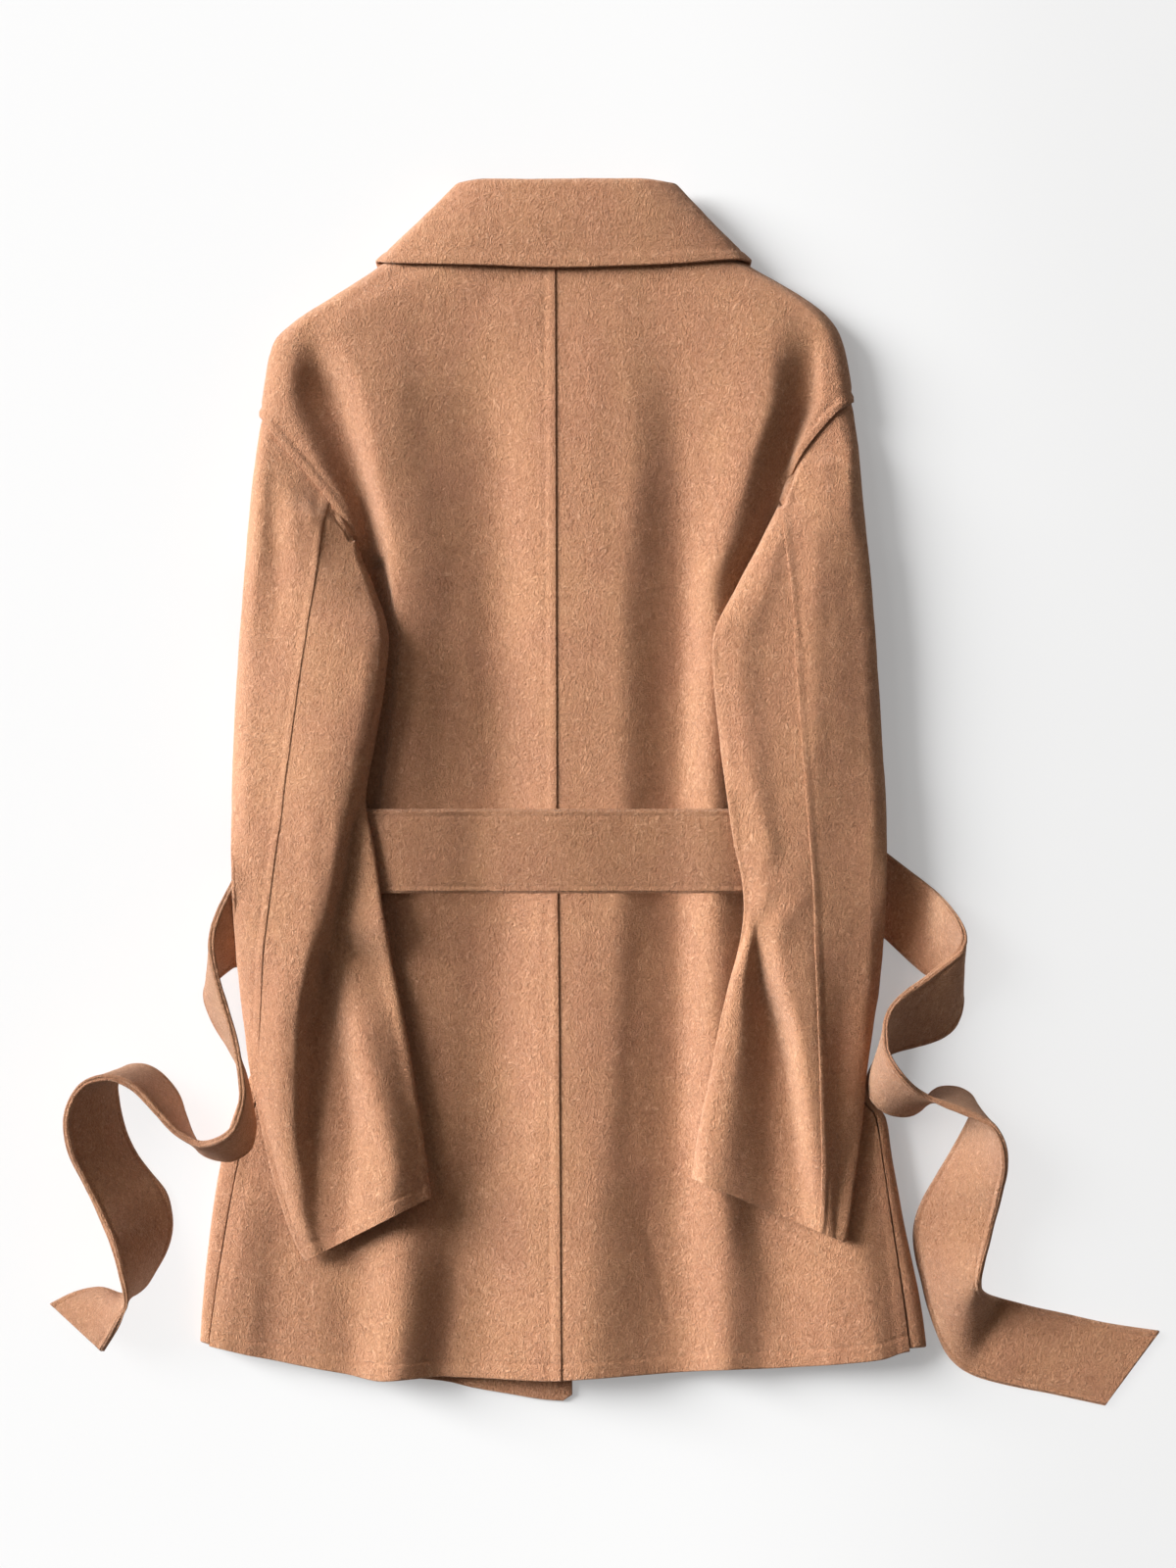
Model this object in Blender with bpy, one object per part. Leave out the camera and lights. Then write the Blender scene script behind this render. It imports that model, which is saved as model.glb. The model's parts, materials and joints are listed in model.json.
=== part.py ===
"""Belted wool coat, laid face down, with its own belt.

Metres, +Z up, the surface at z = 0, the neck towards +Y.  Each cut piece is a
wall of cloth of its own; the folds come from sections across the garment.
"""
import math

import bmesh
import bpy
import numpy as np

for ob in list(bpy.data.objects):
    bpy.data.objects.remove(ob, do_unlink=True)

# ---------------------------------------------------------------- sizes
# Places are given on a layout grid: 0.7 mm a step, counted right and down,
# as the outline is seen from a point EYE metres above the surface.
STEP = 0.0007
EYE = 2.2
EYE_AT = (600.0, 800.0)
CENTRE = (0.01165, -0.0079)     # middle of the coat's box, metres
WALL = 0.0024                  # wool cloth
BELT_WALL = 0.0044             # two layers, sewn face to face
BELT_WIDE = 0.0592
SEAM = 0.5                     # half of the gap at a seam, grid steps
LAY = 1.2                      # clearance between layers, mm


def place(px, py, z):
    """Grid place and height in mm -> metres."""
    px, py, z = np.broadcast_arrays(np.asarray(px, float), py, z)
    zm = z * 0.001
    k = STEP * (1.0 - zm / EYE)
    return np.stack([(px - EYE_AT[0]) * k - CENTRE[0],
                     (EYE_AT[1] - py) * k - CENTRE[1], zm], axis=-1)


# ---------------------------------------------------------------- curves
def curve(xk, yk, x):
    """Smooth curve through the knots that never overshoots them."""
    xk = np.asarray(xk, float)
    yk = np.asarray(yk, float)
    x = np.clip(np.asarray(x, float), xk[0], xk[-1])
    h = np.diff(xk)
    d = np.diff(yk) / h
    m = np.zeros(len(xk))
    for i in range(1, len(xk) - 1):
        if d[i - 1] * d[i] > 0:
            w1, w2 = 2 * h[i] + h[i - 1], h[i] + 2 * h[i - 1]
            m[i] = (w1 + w2) / (w1 / d[i - 1] + w2 / d[i])
    m[0], m[-1] = d[0], d[-1]
    i = np.clip(np.searchsorted(xk, x) - 1, 0, len(xk) - 2)
    t = (x - xk[i]) / h[i]
    t2, t3 = t * t, t * t * t
    return ((2 * t3 - 3 * t2 + 1) * yk[i] + (t3 - 2 * t2 + t) * h[i] * m[i]
            + (3 * t2 - 2 * t3) * yk[i + 1] + (t3 - t2) * h[i] * m[i + 1])


def table(rows, x):
    """Second column of a two-column table at x."""
    a = np.asarray(rows, float)
    return curve(a[:, 0], a[:, 1], x)


def ease(x):
    x = np.clip(x, 0.0, 1.0)
    return x * x * (3 - 2 * x)


def through(points, s):
    """Point on a round curve through a list of points, s counted in points."""
    p = np.asarray(points, float)
    s = np.clip(np.asarray(s, float), 0, len(p) - 1)
    i = np.minimum(s.astype(int), len(p) - 2)
    t = (s - i)[..., None]
    p0 = p[np.maximum(i - 1, 0)]
    p1, p2 = p[i], p[i + 1]
    p3 = p[np.minimum(i + 2, len(p) - 1)]
    return 0.5 * (2 * p1 + (p2 - p0) * t + (2 * p0 - 5 * p1 + 4 * p2 - p3) * t ** 2
                  + (3 * p1 - p0 - 3 * p2 + p3) * t ** 3)


# ---------------------------------------------------------------- the back
# Sections across the back from the neck down: for each, where the folds run
# across the coat, then how high each stands (mm).
# columns: down | side, rise, valley, ridge, hollow, centre, ridge, hollow,
#                 ridge, valley, rise, side   (left to right)
BACK = (
    (250, (448, 454, 461, 478, 514, 562, 612, 652, 676, 691, 697, 703),
          (16, 18, 19.5, 22, 23, 23.5, 23.5, 23, 22, 20, 18, 16)),
    (272, (387, 400, 416, 455, 510, 562, 615, 658, 700, 732, 750, 766),
          (16, 18, 19, 22, 22.5, 23.5, 23.5, 22.5, 22, 20, 18, 17)),
    (335, (294, 304, 320, 350, 470, 563, 628, 676, 785, 828, 840, 852),
          (17, 19.2, 20.4, 24, 19.5, 23.5, 24, 22.5, 24.5, 20.5, 20.5, 19)),
    (400, (268, 293, 334, 374, 490, 564, 638, 690, 784, 825, 840, 867),
          (18, 24, 11.2, 28, 15, 24, 24.5, 19.5, 27, 12, 21, 20)),
    (470, (302, 321, 357, 385, 500, 565, 641, 696, 764, 805, 812, 815),
          (23, 24, 10.8, 28, 12.8, 23.8, 24.5, 16.5, 28, 11.6, 18.5, 20)),
    (547, (359, 362, 377, 400, 503, 566, 634, 695, 743, 789, 812, 842),
          (21, 20, 10.8, 26, 11.8, 23.5, 24.5, 13.4, 27.5, 11.8, 14, 13)),
    (600, (287, 330, 382, 404, 504, 567, 630, 696, 728, 768, 830, 864),
          (13, 13, 13.0, 26, 10.6, 23.5, 24.5, 12, 26.5, 12.5, 13, 13)),
    (740, (292, 330, 374, 402, 505, 568, 628, 692, 726, 765, 830, 862),
          (13, 13, 19, 26.5, 10.4, 23.5, 24, 11, 26.5, 14, 13, 13)),
    (868, (296, 330, 372, 400, 508, 569, 628, 690, 728, 770, 830, 858),
          (13, 13, 18, 23, 10.6, 23, 23.5, 11.6, 26, 14, 13, 13)),
    (1000, (294, 330, 376, 406, 506, 570, 620, 690, 730, 780, 830, 862),
           (13, 13, 17, 20.5, 10.4, 23.5, 23.5, 11, 26.5, 14, 13, 13)),
    (1150, (250, 280, 350, 412, 502, 571, 612, 690, 730, 780, 850, 896),
           (14, 15, 16, 21.5, 10.4, 24, 24, 10.8, 25.5, 14, 15, 14)),
    (1250, (237, 250, 350, 413, 474, 572, 600, 686, 738, 778, 868, 908),
           (15, 19, 15, 24.5, 12.2, 24.5, 25.5, 10.6, 24.5, 13.5, 21, 15)),
    (1330, (225, 240, 362, 411, 468, 573, 598, 692, 742, 790, 880, 919),
           (15, 19.5, 15.5, 27, 11.2, 24, 26, 10.8, 23, 15, 23, 15)),
    (1412, (215, 230, 352, 404, 458, 573, 595, 694, 742, 780, 890, 928),
           (14, 17.5, 14.5, 25.5, 11.5, 24, 25.5, 11.5, 21.5, 16, 21.5, 14)),
)
# Edge of the back, left and right: shoulder, armhole, then side seam.
# columns: down, across
EDGE_L = ((250, 448), (254, 436), (262, 409), (268, 392), (274, 384), (302, 341),
          (328, 301), (349, 280), (385, 271), (425, 266), (429, 268.5), (457, 290),
          (480, 311), (506, 332), (531, 350), (545, 358.3), (548, 359), (552, 355.5),
          (600, 288), (640, 287), (740, 294), (900, 298), (1000, 297), (1060, 290),
          (1120, 264), (1176, 246), (1375, 218), (1412, 214))
EDGE_R = ((250, 703), (254, 716), (262, 742), (268, 758), (274, 768), (302, 817),
          (321, 842), (342, 857), (366, 864), (411, 870), (413, 866), (419, 856),
          (431, 844), (445, 832), (461, 820), (482, 809), (500, 801), (510, 797.5),
          (513, 797), (517, 799), (566, 860), (600, 865), (740, 862), (900, 858),
          (1000, 858), (1060, 862), (1100, 868), (1120, 877), (1140, 893), (1176, 899),
          (1385, 925), (1412, 928))
CENTRE_SEAM = ((250, 566), (275, 566.2), (460, 567), (820, 568), (1000, 570), (1250, 571.5),
               (1412, 572.5))
# Lower edge of the back.  columns: across, down
HEM = ((200, 1370), (207, 1372), (250, 1383), (300, 1393), (350, 1402), (390, 1410),
       (420, 1408), (450, 1405), (500, 1407), (560, 1410), (600, 1408), (650, 1404),
       (700, 1400), (750, 1398), (800, 1396), (850, 1393), (900, 1388), (925, 1380),
       (950, 1377))
HEM_AT = 1412.0
# Outline of the sleeves beside the shoulder.  columns: down, across
OUT_L = ((385, 271), (425, 266), (500, 257), (540, 253), (640, 245))
OUT_R = ((366, 864), (411, 870), (455, 876), (500, 880), (640, 892))


def seam_gap(q, left):
    """Half the gap at the side seam; wider at the hidden corner under the arm."""
    top = 548.0 if left else 515.0
    return (SEAM + 1.6 * float(ease((q - top) / 8.0) * ease((640.0 - q) / 30.0))
            + 0.5 * float(ease((q - 1080.0) / 20.0) * ease((1170.0 - q) / 20.0)))


def hem_shift(q, px):
    """How far a section's place moves down or up so the last lies on the hem."""
    return (table(HEM, px) - HEM_AT) * ease((q - 1180.0) / (HEM_AT - 1180.0))


_b = np.array([[r[0]] + list(r[1]) + list(r[2]) for r in BACK], float)


def back_z(q, px):
    """Height of the back's upper face along one section, mm."""
    px = np.asarray(px, float)
    xs = np.array([curve(_b[:, 0], _b[:, 1 + j], q) for j in range(12)])
    zs = np.array([curve(_b[:, 0], _b[:, 13 + j], q) for j in range(12)])
    lo, hi = float(table(EDGE_L, q)), float(table(EDGE_R, q))
    xs[0], xs[11] = min(lo, xs[0]), max(hi, xs[11])
    for j in range(1, 12):
        xs[j] = max(xs[j], xs[j - 1] + 1.5)
    z = curve(xs, zs, px)
    # the cloth rolls over the shoulder's edge
    if q < 640:
        left = table(EDGE_L, q) if q < 425 else table(OUT_L, q)
        right = table(EDGE_R, q) if q < 411 else table(OUT_R, q)
        for d in (px - left, right - px):
            f = np.sqrt(np.clip(1 - (1 - np.clip(d / 15.0, 0, 1)) ** 2, 0, 1))
            z = 9.6 + (z - 9.6) * f
    return z


_gy = np.arange(240.0, 1430.0, 4.0)
_gx = np.arange(200.0, 960.0, 2.0)
_gz = np.array([back_z(max(q, 250.0), _gx) for q in _gy])


def under_z(px, py):
    """The same height, read anywhere."""
    u = np.clip((np.asarray(px, float) - _gx[0]) / 2.0, 0, len(_gx) - 1.001)
    v = np.clip((np.asarray(py, float) - _gy[0]) / 4.0, 0, len(_gy) - 1.001)
    i, j = v.astype(int), u.astype(int)
    fi, fj = v - i, u - j
    return ((_gz[i, j] * (1 - fj) + _gz[i, j + 1] * fj) * (1 - fi)
            + (_gz[i + 1, j] * (1 - fj) + _gz[i + 1, j + 1] * fj) * fi)


# How far the front turns up past the side seam.  columns: down, steps
WRAP_L = ((250, 9), (425, 9), (440, 7), (540, 7), (552, 5), (580, 16), (1100, 18),
          (1176, 18), (1375, 11), (1412, 9))
WRAP_R = ((250, 9), (411, 9), (430, 7), (505, 7), (520, 5), (560, 14), (1060, 14),
          (1140, 10), (1250, 12), (1385, 17), (1412, 17))


def side_l(py):
    return table(EDGE_L, py) - table(WRAP_L, py) + np.maximum(547.0 - py, 0) * 1.2


def side_r(py):
    return table(EDGE_R, py) + table(WRAP_R, py) - np.maximum(513.0 - py, 0) * 1.2


# The belt's strip over the back lies on the ridges and bridges the hollows.
BELT_TOP, BELT_LOW = 825.5, 911.5
_bx = np.arange(230.0, 950.0, 5.0)
_bz = np.array([max(under_z(x, y) for y in np.arange(816.0, 921.0, 8.0)) for x in _bx])
_bz = np.array([_bz[max(0, i - 3):i + 4].max() for i in range(len(_bx))])
_bz = np.array([_bz[max(0, i - 6):i + 7].mean() for i in range(len(_bx))])


def belt_rest(px):
    return np.interp(px, _bx, _bz) + LAY + 0.6


def body_top(px, py):
    """Smooth upper limit of the body with the belt on it; 0 on the surface."""
    c = 20.0 * ease((680.0 - py) / 60.0)
    r_l = ease((px - (side_l(py) - 32.0 - c)) / (30.0 + 0.6 * c))
    r_r = ease(((side_r(py) + 32.0 + c) - px) / (30.0 + 0.6 * c))
    z = (under_z(px, py) + LAY + 1.2) * np.minimum(r_l, r_r)
    # over the belt
    w = ease((py - 770.0) / 45.0) * ease((985.0 - py) / 50.0)
    on = np.minimum(ease((px - 240.0) / 25.0), ease((905.0 - px) / 25.0))
    b = (belt_rest(px) + BELT_WALL * 1000 + LAY) * on
    z = z + np.maximum(b - z, 0) * w
    # left of the coat the strip turns down under the sleeve's edge
    g = np.exp(-((py - 898.0) / 62.0) ** 2) * ease((330.0 - px) / 30.0)
    z = np.maximum(z, 31.0 * g)
    g = np.exp(-((py - 905.0) / 60.0) ** 2) * (1 - r_r)
    return np.maximum(z, 19.0 * g)


# ---------------------------------------------------------------- sleeves
# Stations down each sleeve.  columns: outer edge (across, down), inner edge
# (across, down), elbow seam, crest, valley, crest (parts of the width from the
# outer edge), and the heights of outer shoulder, crest, valley, crest, inner
# shoulder in mm.
SLEEVE_L = (
    (266, 425, 359, 547, .710, .20, .60, .85, 22, 23, 23, 24, 24),
    (259, 480, 365, 557, .667, .25, .62, .85, 25, 28, 27, 26, 25),
    (253, 540, 371, 573, .615, .28, .64, .85, 27, 32, 30, 28, 27),
    (249, 590, 383, 602, .534, .30, .66, .86, 28, 35, 33, 30, 28),
    (245, 640, 396, 648, .447, .32, .68, .88, 29, 37, 34, 31, 28),
    (241, 700, 392, 700, .417, .33, .72, .90, 29, 38, 34, 31, 28),
    (238, 760, 383, 758, .400, .34, .78, .92, 29, 38, 33, 31, 28),
    (236.5, 815, 373, 815, .384, .38, .86, .94, 30, 39, 31, 29, 28),
    (236, 870, 382, 868, .310, .40, .84, .93, 32, 41, 28.5, 29, 28),
    (237, 920, 390, 920, .245, .36, .76, .89, 33, 41, 26, 30, 28),
    (241, 975, 400, 980, .170, .31, .66, .84, 31, 40, 23.5, 32, 27),
    (247, 1030, 411, 1035, .113, .28, .59, .81, 29, 38, 21.5, 33, 27),
    (253, 1080, 420, 1085, .066, .25, .54, .80, 28, 36, 21, 34, 27),
    (262, 1130, 427, 1130, .042, .21, .48, .84, 27, 34, 21, 35, 27),
    (275, 1190, 434, 1174, .040, .17, .40, .87, 25, 31, 21.5, 36, 28),
    (290, 1240, 437, 1200, .040, .16, .34, .88, 23, 28, 23, 36, 28),
    (303, 1272, 439, 1214, .040, .16, .33, .88, 22, 27, 24, 35, 28),
    (312, 1287, 440, 1222, .040, .16, .32, .88, 21, 26, 24.5, 35, 28),
)
SLEEVE_R = (
    (870, 411, 801, 500, .925, .25, .60, .88, 21, 22, 23, 24, 24),
    (876, 455, 796, 512, .930, .28, .62, .88, 25, 28, 27, 26, 25),
    (880, 500, 785, 534, .850, .32, .64, .88, 27, 32, 31, 29, 27),
    (885, 550, 769, 565, .710, .38, .66, .88, 28, 35, 34, 31, 28),
    (890, 600, 750, 601, .589, .45, .70, .88, 29, 37, 35, 32, 29),
    (893.5, 648, 727.5, 650, .498, .48, .74, .90, 29, 38, 36, 33, 29),
    (897, 700, 729, 700, .495, .50, .76, .92, 30, 39, 36, 33, 29),
    (900, 750, 734, 750, .497, .50, .78, .92, 30, 39, 36, 34, 30),
    (903, 800, 740, 800, .500, .52, .80, .93, 30, 39, 36, 34, 31),
    (905, 855, 748, 855, .503, .58, .84, .94, 31, 40, 36, 35, 32),
    (904, 905, 758, 905, .510, .64, .90, .96, 31, 40, 34, 32, 30),
    (902.5, 950, 757, 950, .490, .76, .90, .96, 31, 40, 30, 31, 28),
    (898, 1000, 745, 1000, .425, .63, .73, .86, 30, 40, 25, 31, 27),
    (891, 1050, 733, 1050, .354, .48, .62, .84, 29, 39, 22, 31, 27),
    (884, 1100, 724, 1100, .295, .37, .51, .82, 28, 38, 21, 31, 27),
    (880, 1150, 714, 1148, .253, .29, .44, .82, 27, 36, 21, 32, 27),
    (873, 1200, 708, 1184, .206, .22, .38, .84, 25, 34, 21.5, 33, 27),
    (866, 1248, 706, 1198, .179, .19, .36, .85, 23, 31, 22.5, 33, 27),
    (862, 1268, 706, 1203, .173, .18, .35, .85, 22, 29, 23.5, 33, 27),
)
ROLL_OUT, ROLL_IN = 17.0, 9.0     # how wide the sleeve's edges roll, steps


class Sleeve:
    def __init__(self, rows, left):
        self.t = np.asarray(rows, float)
        self.n = len(self.t)
        self.left = left

    def row(self, s):
        """The station's numbers at s; the armhole is s = 0."""
        k = np.arange(self.n, dtype=float)
        r = np.array([curve(k, self.t[:, j], s) for j in range(self.t.shape[1])])
        r[:4] = through(self.t[:, :4], s)
        return r

    def width(self, s):
        r = self.row(s)
        return math.hypot(r[2] - r[0], r[3] - r[1])

    def point(self, s, d, top):
        """Point at d steps in from the outer edge, on the top or the bottom face."""
        r = self.row(s)
        w = math.hypot(r[2] - r[0], r[3] - r[1])
        d = np.asarray(d, float)
        t = d / w
        px = r[0] + (r[2] - r[0]) * t
        py = r[1] + (r[3] - r[1]) * t
        if s < 1.0:                        # the first station is the armhole seam
            y0 = self.t[0, 1] + (self.t[0, 3] - self.t[0, 1]) * t
            x0 = self.t[0, 0] + (self.t[0, 2] - self.t[0, 0]) * t
            edge = table(EDGE_L if self.left else EDGE_R, y0)
            gap = 2 * SEAM + 0.9 * ease((y0 - 455.0) / 20.0)
            px = px + (edge - x0 - gap * (1 if self.left else -1)) * (1 - s)
        low = 1.0 + body_top(px, py)
        tops = curve([0, r[5], r[6], r[7], 1], r[8:13], t)
        if s < 2.5:                        # flush with the body at the armhole
            k = ease(s / 2.5)
            tops = tops * k + under_z(px, py) * (1 - k)
        tops = np.maximum(tops, low + 6.6)
        ro = min(ROLL_OUT, 0.3 * w)
        f = np.sqrt(np.clip(1 - (1 - np.clip(d / ro, 0, 1)) ** 2, 0, 1))
        g = np.sqrt(np.clip(1 - (1 - np.clip((w - d) / ROLL_IN, 0, 1)) ** 2, 0, 1))
        e = np.minimum(f, g)
        mid = 0.5 * (tops + low)
        z = mid + (tops - mid) * e if top else mid - (mid - low) * e
        return place(px, py, z)

    def strip(self, stations, cols, seam, inner):
        """Rows of points from the elbow seam round one edge to the front seam,
        with one more column just past and just before either seam."""
        out = []
        for s in stations:
            r, w = self.row(s), self.width(s)
            e = r[4] * w
            f = 0.46 * w
            a = 0.5 * np.pi * (1 - np.asarray(cols[0]))
            b = 0.5 * np.pi * np.asarray(cols[1])[1:]
            if not inner:
                top = (e - seam) * (1 - np.cos(a))
                bot = (f - seam) * (1 - np.cos(b))
                top = np.concatenate([[e - seam + 3, e - seam, e - seam - 3], top[1:]])
                bot = np.concatenate([bot[:-1], [f - seam - 3, f - seam, f - seam + 3]])
            else:
                top = w - (w - e - seam) * (1 - np.cos(a))
                bot = w - (w - f - seam) * (1 - np.cos(b))
                top = np.concatenate([[e + seam - 3, e + seam, e + seam + 3], top[1:]])
                bot = np.concatenate([bot[:-1], [f + seam + 3, f + seam, f + seam - 3]])
            top = np.clip(top, 0.0, w)
            out.append(np.concatenate([self.point(s, top, True),
                                       self.point(s, bot, False)]))
        return np.array(out)


# ---------------------------------------------------------------- collar
# Stations along the collar from its left front end round the neck to its
# right front end.  columns: neck seam, roll line, fall edge (across, down,
# height in mm each), and the way the fall faces (degrees: 90 up, -90 down)
COLLAR = (
    (500, 298, 8.2, 522, 262, 4.2, 440, 348, 0.5, -90),
    (478, 272, 8.2, 502, 232, 4.2, 415, 318, 0.5, -90),
    (458, 255, 8.2, 484, 208, 4.8, 390, 281, 0.4, -88),
    (448, 250, 9.0, 474, 196, 7.5, 383, 268, 2.2, -50),
    (445, 248.5, 12.0, 470, 190, 13, 386, 266, 12.5, 5),
    (452, 248.5, 15.5, 474, 186, 18.5, 400, 268.2, 20.5, 55),
    (474, 248.8, 19.0, 492, 183, 22.5, 448, 269.4, 26, 82),
    (512, 249, 20.5, 530, 184, 24.5, 504, 271, 27.6, 90),
    (566, 249, 21, 576, 184.5, 25, 562, 273, 28, 90),
    (616, 249, 20.5, 622, 184, 24.5, 622, 271.8, 27.6, 90),
    (664, 248.8, 19.0, 659, 183, 22.5, 692, 269, 26, 82),
    (697, 248.5, 15.5, 679, 186, 18.5, 747, 265, 20.5, 55),
    (707, 248.5, 12.0, 686, 190, 13, 764, 266, 12.5, 5),
    (704, 250, 9.0, 682, 196, 7.5, 767, 268, 2.2, -50),
    (694, 255, 8.2, 672, 208, 4.8, 760, 281, 0.4, -88),
    (674, 272, 8.2, 654, 232, 4.2, 732, 318, 0.5, -90),
    (652, 298, 8.2, 634, 262, 4.2, 706, 348, 0.5, -90),
)
ROLL = 0.0034


def collar_row(s, fall, turn, stand):
    """One section: fall edge, over the roll, down to the neck seam."""
    r = through(COLLAR, s)
    n, o, f = place(*r[0:3]), place(*r[3:6]), place(*r[6:9])
    a = math.radians(float(r[9]))
    e1 = 0.5 * (n + f) - o
    e1 /= np.linalg.norm(e1)
    flat = np.array([e1[0], e1[1], 0.0])
    flat /= np.linalg.norm(flat)
    side = np.array([-flat[1], flat[0], 0.0])
    if side[0] * (s - 8.0) < 0:
        side = -side
    e2 = math.cos(a) * side + math.sin(a) * np.array([0, 0, 1.0])
    e2 -= e1 * e2.dot(e1)
    e2 /= np.linalg.norm(e2)
    mid = o + ROLL * e1
    up, low = mid + ROLL * e2, mid - ROLL * e2
    t = np.linspace(0, 1, fall)[:, None]
    rows = [f + (up - f) * t + 0.0012 * max(math.sin(a), 0.0) * np.sin(np.pi * t) * e2]
    ang = np.linspace(90, -90, turn)[1:-1, None] * np.pi / 180
    rows.append(mid - ROLL * np.cos(ang) * e1 + ROLL * np.sin(ang) * e2)
    t = np.linspace(0, 1, stand)[:, None]
    rows.append(low + (n - low) * t)
    return np.concatenate(rows)


# ---------------------------------------------------------------- fronts
# Front edges with the neckline above.  columns: down, across
FRONT_L = ((250, 446), (262, 460), (280, 478), (300, 496), (330, 520), (360, 540),
           (400, 560), (450, 578), (500, 584), (1430, 584))
FRONT_R = ((250, 706), (262, 692), (280, 674), (300, 656), (330, 630), (360, 606),
           (400, 570), (450, 525), (500, 496), (600, 478), (1430, 470))
# Lower edges.  columns: across, down
HEM_FL = ((200, 1368), (207, 1370), (300, 1388), (400, 1404), (455, 1409), (480, 1415),
          (520, 1422), (558, 1428), (576, 1429), (585, 1422))
HEM_FR = ((460, 1396), (600, 1401), (700, 1394), (850, 1387), (925, 1376), (950, 1374))
UNDER_COLLAR = 4.4


def front_row(q, left, wrap, floor):
    """One section of a front: side seam, round the side, along the surface."""
    seam = seam_gap(q, left)
    xs = float(table(EDGE_L if left else EDGE_R, q))
    e = float(table(WRAP_L if left else WRAP_R, q))
    sgn = 1.0 if left else -1.0
    top_q, low_q = (425.0, 547.0) if left else (411.0, 513.0)
    level = UNDER_COLLAR * float(ease((470.0 - q) / 60.0))
    over = level + (9.0 - level) / 0.4565
    # where the section starts on its half ellipse, and how high that stands
    if q <= top_q:
        a0, tall = 95.0, over
    else:
        k = float(ease((q - low_q) / 30.0))
        a0 = 125.0 * (1 - k) + 3.0 * k
        tall = 8.0 * (1 - k) + (float(back_z(q, xs)) - 0.0) * k
        j = float(ease((q - top_q) / 14.0))
        a0, tall = 95.0 * (1 - j) + a0 * j, over * (1 - j) + tall * j
    if q <= low_q and q > top_q:
        e_in = seam + e + 1.2 * float(ease((top_q + 20 - q) / 10))
    elif q <= top_q:
        e_in = e + 0.8 + 0.7 * float(ease((q - 395.0) / 20.0))
    else:
        k = float(ease((q - low_q) / 30.0))
        e_in = (seam + e) * (1 - k) - seam * k
    a = np.radians(np.linspace(a0, 180.0, wrap))
    h = (tall - level) * 0.5
    x0 = xs + sgn * e_in
    wx = x0 - sgn * e * np.sin(a)
    wz = level + h * (1 + np.cos(a))
    xf = float(table(FRONT_L if left else FRONT_R, q))
    if left:
        fx = wx[-1] + (xf - wx[-1]) * np.linspace(0, 1, floor)[1:]
    else:                                  # finer where it climbs the other front
        c2 = xf + 0.5 * (wx[-1] - xf)
        c3 = max(603.0, xf + 0.2 * (wx[-1] - xf))
        k = (floor - 1) // 3
        fx = np.concatenate([np.linspace(wx[-1], c2, floor - 2 * k)[1:],
                             np.linspace(c2, c3, k + 1)[1:],
                             np.linspace(c3, xf, k + 1)[1:]])
    px = np.concatenate([wx, fx])
    z = np.concatenate([wz, np.full(floor - 1, level)])
    if not left:
        z = z + 3.4 * ease((628.0 - px) / 26.0)
    py = np.full(len(px), float(q))
    hem = table(HEM_FL if left else HEM_FR, px)
    py = py + (hem - HEM_AT) * ease((q - 1180.0) / (HEM_AT - 1180.0))
    return place(px, py, z)


# ---------------------------------------------------------------- belt
# Stations along the belt, left end to right end, on both edges.
# columns: far edge (across, down), near or lower edge (across, down), and the
# height in mm of what the lower edge stands on (0: the surface)
BELT_L = (
    (105, 1379, 52, 1330, 0), (115, 1362, 76, 1319, 0), (123, 1346, 102, 1315, 0),
    (128, 1332, 126, 1322, 0), (127, 1317, 145, 1313, 0), (123, 1301, 159, 1293, 0),
    (118, 1283, 170, 1273, 0), (112, 1265, 175, 1255, 0), (104, 1247, 175, 1237, 0),
    (95, 1227, 169, 1216, 0), (82, 1201, 154, 1197, 0), (72, 1181, 141, 1180, 0),
    (67, 1162, 131, 1161, 0), (66, 1142, 124, 1140, 0), (72, 1122, 120, 1120, 0),
    (84, 1107, 119, 1104, 0), (99, 1101, 128, 1091, 0), (117, 1101, 145, 1088, 0),
    (138, 1112, 163, 1096, 0), (160, 1135, 180, 1116, 0), (172, 1148, 188, 1138, 0),
    (184, 1158, 196, 1160, 0), (203, 1167, 209, 1177, 3), (222, 1163, 234, 1183, 14),
    (236, 1153, 254, 1172, 18), (243, 1137, 259, 1150, 19), (247, 1119, 256, 1129, 18),
    (246, 1101, 252, 1109, 14), (243, 1080, 246, 1089, 8), (238, 1055, 234, 1067, 2), (230, 1027, 220, 1045, 0),
    (222, 999, 211, 1022, 0), (216, 970, 212, 1008, 0), (217, 949, 222, 998, 0),
    (224, 928, 235, 988, 0), (236, 903, 247, 983, 1), (250, 872, 257, 957, 4),
    (267, 846, 268, 933, 9), (288, 832, 286, 919, 14.5),
)
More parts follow.
